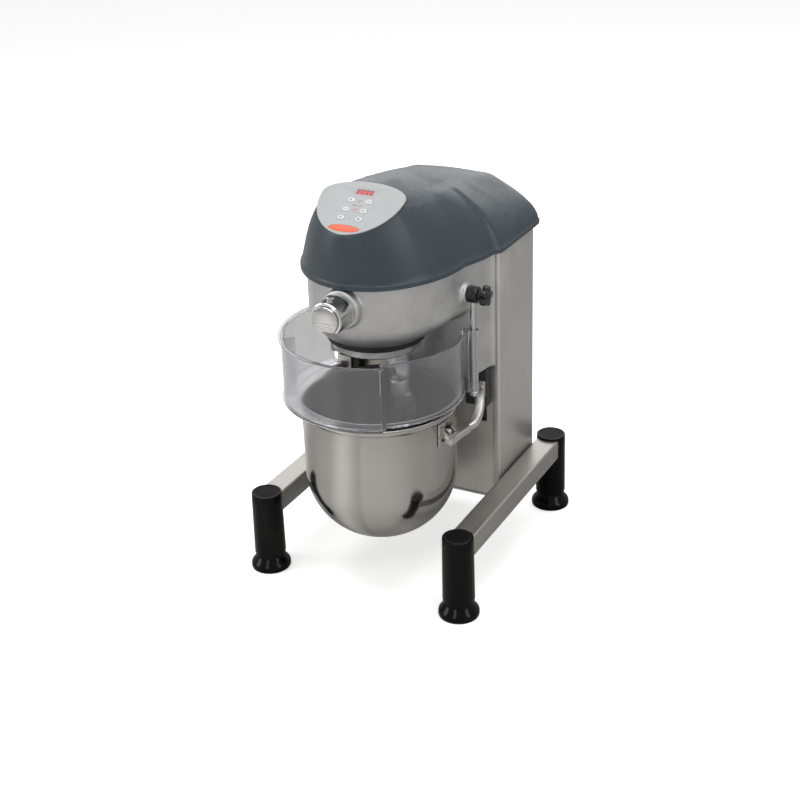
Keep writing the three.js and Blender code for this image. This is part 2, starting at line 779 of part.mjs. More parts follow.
placeOnAxis('ring_gear', makeRingGear(), steel());
placeOnAxis('planet_pinion', geometryOf(makePinion()).translate(offset, 0, 0), steel());
placeOnAxis('planet_carrier', makeCarrier(), polished());
placeOnAxis('planet_shaft', makePlanetShaft(), polished());
placeOnAxis('main_shaft', makeMainShaft(), steel());
placeOnAxis('head_pulley', makeHeadPulley(), steel());
placeOnAxis('seal_ring', turned([
  [74.4, 421.5], [77.6, 421.5], [78.6, 424], [78.6, collarZ - GAP], [74.4, collarZ - GAP],
], 0, 0, 36), rubber());
placeOnAxis('shaft_bearing', turned([
  [shaftRadius + GAP, 456], [21, 456], [21, 474], [shaftRadius + GAP, 474],
], 0, 0, 32), steel());
place('motor', makeMotor(), paint(0x3c4550, 0.5, 0.3));
place('motor_pulley', makeMotorPulley(), steel()).position.y = motorY;
place('drive_belt', prism(beltLoop(3.6), beltZ, beltZ + beltHeight, [beltLoop(0.9)]), rubber());

// ---- mixing tool -------------------------------------------------------------------
// spiral dough hook hanging from the planet shaft
function makeHook() {
  const points = [];
  const turns = 26;
  for (let i = 0; i <= turns; i += 1) {
    const t = i / turns;
    const a = 0.6 + t * 4.3;
    const swell = 34 * Math.sin(Math.PI * Math.min(1, 0.12 + t * 0.86));
    points.push([offset + swell * Math.cos(a), swell * Math.sin(a), 318 - t * 220]);
  }
  const blade = solid(swept(points, 9, 5.5, 24));
  const stem = bar(offset, 0, 300, 392, 9.8, 20);
  const collar = bar(offset, 0, 326, 351, 15, 24);
  const foot = bar(points[0][0] * 0.5 + offset * 0.5, points[0][1] * 0.5, 300, 328, 13, 20);
  const pin = barY(offset, 360, -17, 17, 3.8, 12);
  return union([stem, collar, foot, pin, blade]);
}

placeOnAxis('dough_hook', makeHook(), castAlloy());

// ---- bowl --------------------------------------------------------------------------
function bowlProfile() {
  const outer = [];
  const steps = 6;
  for (let i = 0; i <= steps; i += 1) {
    const a = (i / steps) * (Math.PI / 2);
    outer.push([bowlRadius * Math.sin(a), bowlBulge - (bowlBulge - bowlBottom) * Math.cos(a)]);
  }
  outer.push([bowlRadius + 1, 302], [bowlRadius + 3.6, 304], [bowlRadius + 4, bowlRim - 2.5]);
  outer.push([bowlRadius + 2.6, bowlRim], [bowlRadius + 0.4, bowlRim - 1]);
  const inner = [[bowlRadius + 0.2 - bowlWall, 301]];
  for (let i = steps; i >= 0; i -= 1) {
    const a = (i / steps) * (Math.PI / 2);
    inner.push([
      (bowlRadius - bowlWall) * Math.sin(a),
      bowlBulge - (bowlBulge - bowlBottom - bowlWall) * Math.cos(a),
    ]);
  }
  return outer.concat(inner);
}

const bracketAngle = -9 * Math.PI / 180;

// folded ear welded to the side of the bowl, with a hole for the pin of the cradle arm
function makeEar() {
  const r = bowlRadius;
  const plate = box(r - 1, r + 3, -14, 14, 262, 300);
  const shelf = box(r, r + 19, -12, 12, armZ + armHeight / 2 + GAP, 283.5);
  const ribA = box(r, r + 16, -12, -9, 281, 297);
  const ribB = box(r, r + 16, 9, 12, 281, 297);
  const hole = bar(r + 10.5, 0, 270, 290, 5.3, 16);
  const slot = box(r + 0.6, r + 5, -2, 2, 264, 277);
  return union([plate, shelf, ribA, ribB]).subtract(hole).subtract(slot);
}

function turnedAbout(body, angle) {
  return body.rotate([0, 0, angle * 180 / Math.PI]);
}

function makeBowl() {
  const shell = turned(bowlProfile(), 0, 0, 32);
  const right = turnedAbout(makeEar(), bracketAngle);
  const left = mirrored(right);
  return shell.add(right).add(left);
}

placeOnAxis('bowl', makeBowl(), polished());

// ---- bowl cradle -------------------------------------------------------------------
// cast arm: leaves the slide block, bows outwards and down, and ends in a square finger with a pin
function makeArm() {
  const r = bowlRadius + 10.5;
  const tipX = r * Math.cos(bracketAngle);
  const tipY = axisY + r * Math.sin(bracketAngle);
  const bend = solid(swept([
    [124, -2.5, 302], [134, -20, 302], [144, -40, 296], [147, -54, 284], [145, -66, armZ + 3],
    [140, -80, armZ],
  ], 7.5, 8, 18));
  const fingerLength = 59;
  const finger = new THREE.BoxGeometry(14, fingerLength, armHeight);
  finger.rotateZ(-0.132);
  finger.translate(tipX + 4.5, tipY + fingerLength / 2 - 7, armZ);
  const pin = bar(tipX, tipY, armZ, armZ + 20, 4.7, 16);
  const foot = box(112, 136, -4, 2 - GAP, 288, 316);
  return union([foot, bend, solid(finger), pin]);
}

// black slide blocks in front of the column, joined through its slots by a bar on the rods
function makeYoke() {
  const bar0 = columnFront + panelRecess + sheet + 3;
  const parts = [box(-130, 130, bar0, bar0 + 16, 284, 320)];
  for (const s of [-1, 1]) {
    const block = [s * blockInner, s * blockOuter].sort((a, b) => a - b);
    const neck = [s * (blockInner + 8), s * (blockOuter - 10)].sort((a, b) => a - b);
    parts.push(box(...block, 2, columnFront - GAP, blockBottom, blockTop));
    parts.push(box(...neck, 10, bar0 + 2, 284, 320));
    parts.push(bar(s * slideX, slideY, 276, 328, slideRadius + 2.2, roundSides));
  }
  const bores = [-1, 1].map((s) => bar(s * slideX, slideY, 270, 340, slideRadius + GAP, roundSides));
  return union(parts).subtract(union(bores));
}

place('cradle_yoke', makeYoke(), paint(0x17181a, 0.55, 0.1));
place('cradle_arm_right', makeArm(), castAlloy());
place('cradle_arm_left', mirrored(makeArm()), castAlloy());
for (const [side, s] of [['left', -1], ['right', 1]]) {
  place(`slide_rod_${side}`, bar(s * slideX, slideY, columnBottom, 436, slideRadius, roundSides), polished());
}

// ---- bowl guard --------------------------------------------------------------------
// point on the guard's plan at an angle from the front, positive towards the right
function guardPoint(radius, degrees) {
  const a = degrees * Math.PI / 180;
  return [radius * Math.sin(a), axisY - radius * Math.cos(a)];
}

// plan of a wall that follows the guard, between an inner and an outer distance from its line
function guardBand(inner, outer, narrowInner = inner) {
  const side = (out) => {
    const points = [];
    const steps = 16;
    for (let i = 0; i <= steps; i += 1) {
      const d = THREE.MathUtils.lerp(-guardEnd, guardStep, i / steps);
      points.push(guardPoint(guardWide + out, d));
    }
    for (let i = 0; i <= 9; i += 1) {
      const d = THREE.MathUtils.lerp(guardStep + 2, guardEnd, i / 9);
      points.push(guardPoint(guardNarrow + (out === inner ? narrowInner : out), d));
    }
    return points;
  };
  return side(outer).concat(side(inner).reverse());
}

function radialWeb(degrees, from, to, thick) {
  const mid = (from + to) / 2;
  const web = new THREE.BoxGeometry(thick, to - from, guardTop - guardBottom - 4);
  web.rotateZ(degrees * Math.PI / 180);
  const [x, y] = guardPoint(mid, degrees);
  web.translate(x, y, (guardTop + guardBottom) / 2 - 1);
  return solid(web);
}

function makeGuard() {
  const wall = prism(guardBand(-guardWall, 0), guardBottom, guardTop);
  const rim = prism(guardBand(-guardWall, 5), guardTop - 4, guardTop);
  const ledge = prism(guardBand(-24, 2, -9), guardBottom, guardBottom + 4);
  const tube = bar(hingeX, hingeY, guardBottom, guardTop, 8.5, 24);
  const [wx, wy] = guardPoint(guardNarrow - 1.5, guardEnd - 2);
  const web = box(wx - 1.5, hingeX, Math.min(wy, hingeY) - 1.5, Math.max(wy, hingeY) - 2,
    guardBottom, guardTop);
  const bore = bar(hingeX, hingeY, guardBottom - 5, guardTop + 5, rodRadius + GAP, 24);
  const ribRight = radialWeb(guardStep + 1, guardNarrow - 8, guardWide - 1, 5);
  const ribLeft = radialWeb(-56, guardWide - 22, guardWide - 1, 2.5);
  return union([wall, rim, ledge, web, tube, ribRight, ribLeft]).subtract(bore);
}

function makeRod() {
  const rod = bar(hingeX, hingeY, 314, bossZ + 2, rodRadius, 20);
  const head = bar(hingeX, hingeY, 314, guardBottom - GAP, 7.5, 20);
  return rod.add(head);
}

function makeBoss() {
  const start = 132 + GAP;
  const barrel = barX(hingeY, bossZ, start, 149, 13.5, 28);
  const bore = bar(hingeX, hingeY, bossZ - 30, bossZ + 2.5, rodRadius + GAP, 20);
  const thread = barX(hingeY, bossZ, 142, 155, 3.3, 16);
  return barrel.subtract(bore).subtract(thread);
}

// five-lobed star knob on a short stud that clamps the guard rod
function starOutline(lobes, low, high) {
  const points = [];
  const steps = lobes * 10;
  for (let i = 0; i < steps; i += 1) {
    const a = 2 * Math.PI * i / steps;
    const r = THREE.MathUtils.lerp(low, high, Math.pow((1 + Math.cos(lobes * a)) / 2, 0.55));
    points.push([r * Math.cos(a), r * Math.sin(a)]);
  }
  return points;
}

function makeStarKnob() {
  const star = prism(starOutline(5, 10.5, 17), 6, 17);
  const neck = bar(0, 0, 0, 7, 8, 20);
  const dome = bar(0, 0, 16, 19, 7, 20);
  const stud = bar(0, 0, -4.5, 1, 3, 12);
  const geometry = geometryOf(union([star, neck, dome, stud]));
  geometry.rotateY(Math.PI / 2);
  geometry.translate(149 + GAP, hingeY, bossZ);
  return geometry;
}

place('bowl_guard', makeGuard(), paint(0xdfe3ea, 0.1, 0, { transparent: true, opacity: 0.35 }));
place('guard_rod', makeRod(), polished());
place('knob_boss', makeBoss(), blackPlastic());
place('star_knob', makeStarKnob(), blackPlastic());

// the origin lies under the middle of the whole mixer, between the hub cover and the rear feet
const frontMost = hubEnd - 4;
const rearMost = legY + footRadius;
mixer.position.y = -(frontMost + rearMost) / 2;

export default mixer;
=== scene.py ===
# %% [markdown]
# # A commercial stand mixer on an H-shaped stand
# This lesson dresses a ready-made mechanical model. The model already has every solid in its
# true place, so each new piece is drawn to the same measures and then rides on the same body.
# Measures are written in millimetres, because that is how the real parts are drawn.

# %% Load the mechanical model
import bpy
import bmesh
import json
import math
from mathutils import Matrix, Vector


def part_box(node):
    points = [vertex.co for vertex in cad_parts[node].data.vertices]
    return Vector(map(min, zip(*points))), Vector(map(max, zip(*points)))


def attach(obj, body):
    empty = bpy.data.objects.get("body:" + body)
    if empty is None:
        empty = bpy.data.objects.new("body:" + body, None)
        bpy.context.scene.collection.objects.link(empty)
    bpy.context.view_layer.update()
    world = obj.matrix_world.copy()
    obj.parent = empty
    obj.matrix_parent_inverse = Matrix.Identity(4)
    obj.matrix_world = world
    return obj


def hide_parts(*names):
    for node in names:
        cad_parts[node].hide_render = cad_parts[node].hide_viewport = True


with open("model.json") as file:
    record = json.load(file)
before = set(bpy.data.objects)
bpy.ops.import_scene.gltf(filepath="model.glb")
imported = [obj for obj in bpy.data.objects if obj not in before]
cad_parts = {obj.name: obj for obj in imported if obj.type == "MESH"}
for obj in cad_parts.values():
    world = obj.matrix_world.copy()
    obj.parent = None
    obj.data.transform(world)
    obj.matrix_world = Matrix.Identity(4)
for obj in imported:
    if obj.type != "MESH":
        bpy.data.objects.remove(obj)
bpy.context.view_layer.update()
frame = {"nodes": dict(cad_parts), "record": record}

# %% [markdown]
# ## Where things are
# Every measure below is taken from the point on the floor midway between the four posts. The
# model keeps that point a little off its own origin, so one helper turns a measure in
# millimetres into a place in metres.

# %% Places in metres
MM = 0.001
post_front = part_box("leg_post_front_left")
post_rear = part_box("leg_post_rear_left")
MIDDLE = (post_front[0].y + post_rear[1].y) / 2
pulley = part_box("head_pulley")
AXIS_Y = round(((pulley[0].y + pulley[1].y) / 2 - MIDDLE) / MM, 2)


def place(x, y, z):
    return Vector((x * MM, y * MM + MIDDLE, z * MM))


print("middle of the posts", round(MIDDLE, 4), "tool axis", AXIS_Y)

# %% [markdown]
# ## The camera
# A long lens from the right and a little above shows the panel, the bowl and the stand at once.
# The camera is built from its three own directions: right, up and backwards.

# %% Camera
turn_round, look_down, lean = (math.radians(a) for a in (27.92, 21.93, -1.79))
backwards = Vector((
    math.sin(turn_round) * math.cos(look_down),
    -math.cos(turn_round) * math.cos(look_down),
    math.sin(look_down),
))
level_right = Vector((math.cos(turn_round), math.sin(turn_round), 0))
level_up = backwards.cross(level_right)
right = math.cos(lean) * level_right + math.sin(lean) * level_up
up = -math.sin(lean) * level_right + math.cos(lean) * level_up
lens_data = bpy.data.cameras.new("studio_camera")
camera = bpy.data.objects.new("studio_camera", lens_data)
bpy.context.scene.collection.objects.link(camera)
standpoint = Vector((1.0341, -1.9617, 1.3282))
camera.matrix_world = Matrix((
    (right.x, up.x, backwards.x, standpoint.x),
    (right.y, up.y, backwards.y, standpoint.y),
    (right.z, up.z, backwards.z, standpoint.z),
    (0, 0, 0, 1),
))
lens_data.sensor_width = 36
lens_data.lens = 66.13
lens_data.shift_x = 0.0005
lens_data.shift_y = -0.1177
lens_data.clip_end = 30
bpy.context.scene.camera = camera
print("camera at", [round(v, 3) for v in camera.location])

# %% [markdown]
# ## Floor and light
# A wide flat sheet of pale paper lies under the stand. Metal shows what stands round it, so the
# light comes from a few wide soft boxes with dimmer air between them: that gives the
# bowl its upright bands and the posts their long highlights. In reflections the paper carries painted
# light and shade: darker and lighter sectors, as a floor is in a room where only the middle is lit.

# %% Paper floor
def simple_finish(name, colour, roughness):
    finish = bpy.data.materials.new(name)
    finish.use_nodes = True
    shader = finish.node_tree.nodes["Principled BSDF"]
    shader.inputs["Base Color"].default_value = (*colour, 1)
    shader.inputs["Roughness"].default_value = roughness
    return finish


bpy.ops.object.select_all(action="DESELECT")
bpy.ops.mesh.primitive_plane_add(size=14, location=(0, 0, 0))
paper = bpy.context.active_object
paper.name = "paper_floor"
paper_finish = simple_finish("paper", (0.95, 0.95, 0.95), 0.9)
paper_tree = paper_finish.node_tree
paper_shader = paper_tree.nodes["Principled BSDF"]
seen = paper_tree.nodes.new("ShaderNodeLightPath")
paper_tree.links.new(seen.outputs["Is Camera Ray"], paper_shader.inputs["Emission Strength"])
paper_shader.inputs["Emission Color"].default_value = (0.42, 0.42, 0.42, 1)
spot_on_paper = paper_tree.nodes.new("ShaderNodeTexCoord")
parts_of_spot = paper_tree.nodes.new("ShaderNodeSeparateXYZ")
paper_tree.links.new(spot_on_paper.outputs["Object"], parts_of_spot.inputs[0])
bearing = paper_tree.nodes.new("ShaderNodeMath")
bearing.operation = "ARCTAN2"
paper_tree.links.new(parts_of_spot.outputs["X"], bearing.inputs[0])
paper_tree.links.new(parts_of_spot.outputs["Y"], bearing.inputs[1])
around = paper_tree.nodes.new("ShaderNodeMapRange")
around.inputs["From Min"].default_value = -math.pi
around.inputs["From Max"].default_value = math.pi
paper_tree.links.new(bearing.outputs[0], around.inputs["Value"])
# Painted reflection: in glossy rays only, the paper is split by bearing into darker and lighter sectors that
# stand in for light and shade in the room.
painted_reflection_sectors = paper_tree.nodes.new("ShaderNodeValToRGB")
painted_reflection_sectors.color_ramp.interpolation = "EASE"
PAINTED_REFLECTION_TONES = ((0.0, 0.45), (0.06, 0.74), (0.12, 0.45), (0.22, 0.35), (0.34, 0.62), (0.46, 0.30), (0.60, 0.25),
         (0.78, 0.36), (0.93, 0.55))
ramp = painted_reflection_sectors.color_ramp.elements
for stop, (where, grey) in enumerate(PAINTED_REFLECTION_TONES):
    mark = ramp[stop] if stop < 2 else ramp.new(where)
    mark.position = where
    mark.color = (grey, grey * 0.985, grey * 0.95, 1)
paper_tree.links.new(around.outputs[0], painted_reflection_sectors.inputs[0])
tone = paper_tree.nodes.new("ShaderNodeMix")
tone.data_type = "RGBA"
tone.inputs[6].default_value = (0.95, 0.95, 0.95, 1)
paper_tree.links.new(seen.outputs["Is Glossy Ray"], tone.inputs[0])
paper_tree.links.new(painted_reflection_sectors.outputs[0], tone.inputs[7])
paper_tree.links.new(tone.outputs[2], paper_shader.inputs["Base Color"])
paper.data.materials.append(paper_finish)

# %% Soft boxes and air
def soft_box(name, location, target, width, height, power, tint=(1, 1, 1)):
    light = bpy.data.lights.new(name, "AREA")
    light.shape = "RECTANGLE"
    light.size, light.size_y = width, height
    light.energy = power
    light.color = tint
    lamp = bpy.data.objects.new(name, light)
    bpy.context.scene.collection.objects.link(lamp)
    lamp.location = location
    lamp.rotation_mode = "QUATERNION"
    lamp.rotation_quaternion = (Vector(target) - Vector(location)).to_track_quat("-Z", "Y")
    return lamp


soft_box("box_overhead", (0.0, 0.2, 3.0), (0, 0, 0.3), 3.4, 2.6, 62)
soft_box("box_left", (-2.4, -1.6, 1.5), (0, 0, 0.35), 1.0, 1.9, 26)
soft_box("box_right", (2.5, -0.5, 1.6), (0, 0, 0.35), 0.7, 1.8, 15)
soft_box("box_back", (-1.7, 3.1, 1.75), (0, 0, 0.6), 5.0, 2.0, 44)
soft_box("box_front", (0.1, -3.1, 1.9), (0, 0, 0.35), 0.7, 1.4, 12)
world = bpy.data.worlds.new("studio_air")
bpy.context.scene.world = world
world.use_nodes = True
air = world.node_tree
sky = air.nodes["Background"]
sky.inputs["Color"].default_value = (1, 1, 1, 1)
sky.inputs["Strength"].default_value = 1.0
rays = air.nodes.new("ShaderNodeLightPath")
dim = air.nodes.new("ShaderNodeMapRange")
dim.inputs["To Min"].default_value = 0.5
dim.inputs["To Max"].default_value = 1.1
air.links.new(rays.outputs["Is Camera Ray"], dim.inputs["Value"])
air.links.new(dim.outputs["Result"], sky.inputs["Strength"])
bpy.context.scene.view_settings.view_transform = "Standard"

# %% [markdown]
# ## Helpers for finishes
# A finish is a small network of nodes. One helper adds a node and fills in its inputs, and an
# input may be a number or the output of another node.

# %% Node helper
def add(tree, kind, inputs=None, **settings):
    made = tree.nodes.new(kind)
    for key, value in settings.items():
        setattr(made, key, value)
    for key, value in (inputs or {}).items():
        socket = made.inputs[key]
        if isinstance(value, bpy.types.NodeSocket):
            tree.links.new(value, socket)
        else:
            socket.default_value = value
    return made


def effect(name, inputs, outputs):
    group = bpy.data.node_groups.new(name, "ShaderNodeTree")
    for label, kind, value in inputs:
        socket = group.interface.new_socket(label, in_out="INPUT", socket_type=kind)
        if value is not None:
            socket.default_value = value
    for label, kind in outputs:
        group.interface.new_socket(label, in_out="OUTPUT", socket_type=kind)
    return group, group.nodes.new("NodeGroupInput"), group.nodes.new("NodeGroupOutput")


FLOAT, VECTOR = "NodeSocketFloat", "NodeSocketVector"

# %% [markdown]
# ## Shared effects
# Brushing, casting skin, moulded grain, hand marks, dust, rubbed edges and painted shade in hollows appear on
# many parts.
# Each is a node group with named inputs, so a finish only says how strong it wants it.

# %% Brushed grain
brush, brush_in, brush_out = effect(
    "brushed_grain",
    [("Place", VECTOR, None), ("Stretch", VECTOR, (600, 600, 8)), ("Cloud", FLOAT, 5.0)],
    [("Grain", FLOAT), ("Cloud", FLOAT)],
)
stretched = add(brush, "ShaderNodeVectorMath", {0: brush_in.outputs["Place"],
                                                1: brush_in.outputs["Stretch"]}, operation="MULTIPLY")
hairs = add(brush, "ShaderNodeTexNoise", {"Vector": stretched.outputs[0], "Scale": 1.0,
                                          "Detail": 5.0, "Roughness": 0.7})
clouds = add(brush, "ShaderNodeTexNoise", {"Vector": brush_in.outputs["Place"],
                                           "Scale": brush_in.outputs["Cloud"], "Detail": 3.0})
brush.links.new(hairs.outputs["Fac"], brush_out.inputs["Grain"])
brush.links.new(clouds.outputs["Fac"], brush_out.inputs["Cloud"])

# %% Cast skin
skin, skin_in, skin_out = effect(
    "cast_skin",
    [("Place", VECTOR, None), ("Size", FLOAT, 60.0)],
    [("Mottle", FLOAT), ("Height", FLOAT)],
)
mottle = add(skin, "ShaderNodeTexNoise", {"Vector": skin_in.outputs["Place"], "Scale": 22.0,
                                          "Detail": 6.0, "Roughness": 0.62})
grit_size = add(skin, "ShaderNodeMath", {0: skin_in.outputs["Size"], 1: 14.0}, operation="MULTIPLY")
grit = add(skin, "ShaderNodeTexNoise", {"Vector": skin_in.outputs["Place"],
                                        "Scale": grit_size.outputs[0], "Detail": 3.0})
waves = add(skin, "ShaderNodeTexNoise", {"Vector": skin_in.outputs["Place"],
                                         "Scale": skin_in.outputs["Size"], "Detail": 2.0})
skin_sum = add(skin, "ShaderNodeMath", {0: grit.outputs["Fac"], 1: 0.35, 2: waves.outputs["Fac"]},
               operation="MULTIPLY_ADD")
skin.links.new(mottle.outputs["Fac"], skin_out.inputs["Mottle"])
skin.links.new(skin_sum.outputs[0], skin_out.inputs["Height"])

# %% Moulded grain
mould, mould_in, mould_out = effect(
    "moulded_grain", [("Place", VECTOR, None), ("Size", FLOAT, 900.0)], [("Height", FLOAT)])
pebbles = add(mould, "ShaderNodeTexVoronoi", {"Vector": mould_in.outputs["Place"],
                                              "Scale": mould_in.outputs["Size"]},
              feature="SMOOTH_F1")
swell = add(mould, "ShaderNodeTexNoise", {"Vector": mould_in.outputs["Place"], "Scale": 60.0,
                                          "Detail": 2.0})
mould_sum = add(mould, "ShaderNodeMath", {0: pebbles.outputs["Distance"], 1: 0.6,
                                          2: swell.outputs["Fac"]}, operation="MULTIPLY_ADD")
mould.links.new(mould_sum.outputs[0], mould_out.inputs["Height"])

# %% Hand marks and wiping
marks, marks_in, marks_out = effect(
    "hand_marks", [("Place", VECTOR, None), ("Amount", FLOAT, 0.5)], [("Mask", FLOAT)])
touched = add(marks, "ShaderNodeTexNoise", {"Vector": marks_in.outputs["Place"], "Scale": 17.0,
                                            "Detail": 4.0, "Roughness": 0.6, "Distortion": 0.6})
spots = add(marks, "ShaderNodeMapRange", {"Value": touched.outputs["Fac"], "From Min": 0.48,
                                          "From Max": 0.72})
print_lines = add(marks, "ShaderNodeTexWave", {"Vector": marks_in.outputs["Place"],
                                               "Scale": 320.0, "Distortion": 9.0, "Detail": 2.0},
                  wave_type="RINGS")
lines = add(marks, "ShaderNodeMapRange", {"Value": print_lines.outputs["Fac"], "To Min": 0.75})
marked = add(marks, "ShaderNodeMath", {0: spots.outputs[0], 1: lines.outputs[0]}, operation="MULTIPLY")
scaled = add(marks, "ShaderNodeMath", {0: marked.outputs[0], 1: marks_in.outputs["Amount"]},
             operation="MULTIPLY")
marks.links.new(scaled.outputs[0], marks_out.inputs["Mask"])

# %% Dust on what faces up
dust, dust_in, dust_out = effect(
    "settled_dust", [("Place", VECTOR, None), ("Amount", FLOAT, 0.2)], [("Mask", FLOAT)])
facing = add(dust, "ShaderNodeNewGeometry")
parts_of_normal = add(dust, "ShaderNodeSeparateXYZ", {0: facing.outputs["Normal"]})
lying = add(dust, "ShaderNodeMapRange", {"Value": parts_of_normal.outputs["Z"], "From Min": 0.35,
                                         "From Max": 0.95})
flecks = add(dust, "ShaderNodeTexNoise", {"Vector": dust_in.outputs["Place"], "Scale": 130.0,
                                          "Detail": 6.0, "Roughness": 0.75})
thrown = add(dust, "ShaderNodeMapRange", {"Value": flecks.outputs["Fac"], "From Min": 0.42,
                                          "From Max": 0.7})
settled = add(dust, "ShaderNodeMath", {0: lying.outputs[0], 1: thrown.outputs[0]}, operation="MULTIPLY")
dusty = add(dust, "ShaderNodeMath", {0: settled.outputs[0], 1: dust_in.outputs["Amount"]},
            operation="MULTIPLY")
dust.links.new(dusty.outputs[0], dust_out.inputs["Mask"])

# %% Rubbed edges and painted shade in hollows
rub_and_hollow_shade, rub_in, rub_and_shade_out = effect(
    "rubbed_edges_and_hollow_shade", [("Place", VECTOR, None), ("Amount", FLOAT, 0.5)],
    [("Edge", FLOAT), ("PaintedHollowShade", FLOAT)])
shape = add(rub_and_hollow_shade, "ShaderNodeNewGeometry")
ridge = add(rub_and_hollow_shade, "ShaderNodeMapRange", {"Value": shape.outputs["Pointiness"], "From Min": 0.515,
                                        "From Max": 0.58})
# Painted shade in the hollows: low pointiness marks the places where shade would fall.
painted_hollow_shade = add(rub_and_hollow_shade, "ShaderNodeMapRange", {"Value": shape.outputs["Pointiness"], "From Min": 0.485,
                                         "From Max": 0.42})
broken = add(rub_and_hollow_shade, "ShaderNodeTexNoise", {"Vector": rub_in.outputs["Place"], "Scale": 240.0,
                                         "Detail": 4.0})
chipped = add(rub_and_hollow_shade, "ShaderNodeMath", {0: ridge.outputs[0], 1: broken.outputs["Fac"]},
              operation="MULTIPLY")
rubbed = add(rub_and_hollow_shade, "ShaderNodeMath", {0: chipped.outputs[0], 1: rub_in.outputs["Amount"]},
             operation="MULTIPLY")
rub_and_hollow_shade.links.new(rubbed.outputs[0], rub_and_shade_out.inputs["Edge"])
rub_and_hollow_shade.links.new(painted_hollow_shade.outputs[0], rub_and_shade_out.inputs["PaintedHollowShade"])
print("effects", [g.name for g in bpy.data.node_groups])

# %% [markdown]
# ## Metal finishes
# Bright metal has almost no colour of its own: its look is in how rough it is and in which
# direction it was worked. One function builds all the worked metals, and the stretch of the
# grain says which way the belt, the lathe or the mould went.

# %% Worked metal
def start_finish(name):
    finish = bpy.data.materials.new(name)
    finish.use_nodes = True
    tree = finish.node_tree
    shader = tree.nodes["Principled BSDF"]
    spot = add(tree, "ShaderNodeTexCoord").outputs["Object"]
    return finish, tree, shader, spot


def use(tree, group, **inputs):
    made = tree.nodes.new("ShaderNodeGroup")
    made.node_tree = group
    for key, value in inputs.items():
        socket = made.inputs[key]
        if isinstance(value, bpy.types.NodeSocket):
            tree.links.new(value, socket)
        else:
            socket.default_value = value
    return made


def blend_colour(tree, factor, first, second):
    mixed = add(tree, "ShaderNodeMix", data_type="RGBA")
    for socket, value in ((mixed.inputs[0], factor), (mixed.inputs[6], first), (mixed.inputs[7], second)):
        if isinstance(value, bpy.types.NodeSocket):
            tree.links.new(value, socket)
        elif isinstance(value, tuple):
            socket.default_value = (*value, 1)
        else:
            socket.default_value = value
    return mixed.outputs[2]


def span(tree, value, low, high, start=0.0, end=1.0):
    return add(tree, "ShaderNodeMapRange", {"Value": value, "From Min": start, "From Max": end,
                                            "To Min": low, "To Max": high}).outputs[0]


def plus(tree, first, second, operation="ADD"):
    return add(tree, "ShaderNodeMath", {0: first, 1: second}, operation=operation).outputs[0]


def worked_metal(name, dark, light, rough, stretch, cloud=5.0, bump=0.02, hands=0.3, dusty=0.1,
                 edge=0.35, metal=1.0):
    finish, tree, shader, spot = start_finish(name)
    grain = use(tree, brush, Place=spot, Stretch=stretch, Cloud=cloud)
    touch = use(tree, marks, Place=spot, Amount=hands)
    settled = use(tree, dust, Place=spot, Amount=dusty)
    worn = use(tree, rub_and_hollow_shade, Place=spot, Amount=edge)
    tone = plus(tree, span(tree, grain.outputs["Grain"], 0, 0.6, 0.3, 0.7),
                span(tree, grain.outputs["Cloud"], 0, 0.4, 0.3, 0.7))
    colour = blend_colour(tree, tone, dark, light)
    colour = blend_colour(tree, worn.outputs["Edge"], colour, tuple(min(1, v * 1.25) for v in light))
    colour = blend_colour(tree, settled.outputs["Mask"], colour, (0.52, 0.5, 0.47))
    tree.links.new(colour, shader.inputs["Base Color"])
    gloss = plus(tree, span(tree, grain.outputs["Grain"], rough[0], rough[1], 0.3, 0.7),
                 touch.outputs["Mask"])
    tree.links.new(gloss, shader.inputs["Roughness"])
    shader.inputs["Metallic"].default_value = metal
    relief = add(tree, "ShaderNodeBump", {"Strength": bump * 10, "Distance": 0.0002,
                                          "Height": grain.outputs["Grain"]})
    tree.links.new(relief.outputs[0], shader.inputs["Normal"])
    return finish


column_steel = worked_metal("column_sheet_steel", (0.52, 0.51, 0.485), (0.66, 0.65, 0.62),
                            (0.30, 0.46), (420, 420, 5), hands=0.12, metal=0.85)
rail_steel = worked_metal("rail_tube_steel", (0.29, 0.278, 0.258), (0.45, 0.435, 0.41),
                          (0.28, 0.44), (420, 5, 420), hands=0.12, dusty=0.2, metal=0.9)
bowl_steel = worked_metal("spun_bowl_steel", (0.44, 0.43, 0.41), (0.54, 0.53, 0.505),
                          (0.10, 0.16), (7, 7, 900), cloud=3.0, bump=0.006, hands=0.06, dusty=0)
# %% [markdown]
# ## Two sides of one steel
# The bowl is bright outside; inside it is rougher and carries painted shade. A face belongs to the
# inside when it looks towards the bowl's upright axis, so its direction is compared with the way out from
# that axis.

# %% The rougher inside of the bowl, with painted shade
tree, shader = bowl_steel.node_tree, bowl_steel.node_tree.nodes["Principled BSDF"]
outside_colour = shader.inputs["Base Color"].links[0].from_socket
outside_gloss = shader.inputs["Roughness"].links[0].from_socket
spot = add(tree, "ShaderNodeTexCoord").outputs["Object"]
from_axis = add(tree, "ShaderNodeVectorMath", {0: spot, 1: -place(0, AXIS_Y, 0)}, operation="ADD")
flat = add(tree, "ShaderNodeVectorMath", {0: from_axis.outputs[0], 1: (1, 1, 0)}, operation="MULTIPLY")
facing = add(tree, "ShaderNodeNewGeometry").outputs["Normal"]
outward = add(tree, "ShaderNodeVectorMath", {0: flat.outputs[0], 1: facing}, operation="DOT_PRODUCT")
upward = add(tree, "ShaderNodeSeparateXYZ", {0: facing}).outputs["Z"]
inward = plus(tree, plus(tree, upward, 0.06, "MULTIPLY"), outward.outputs["Value"], "SUBTRACT")
inside = span(tree, inward, 0.0, 1.0, 0.005, 0.04)
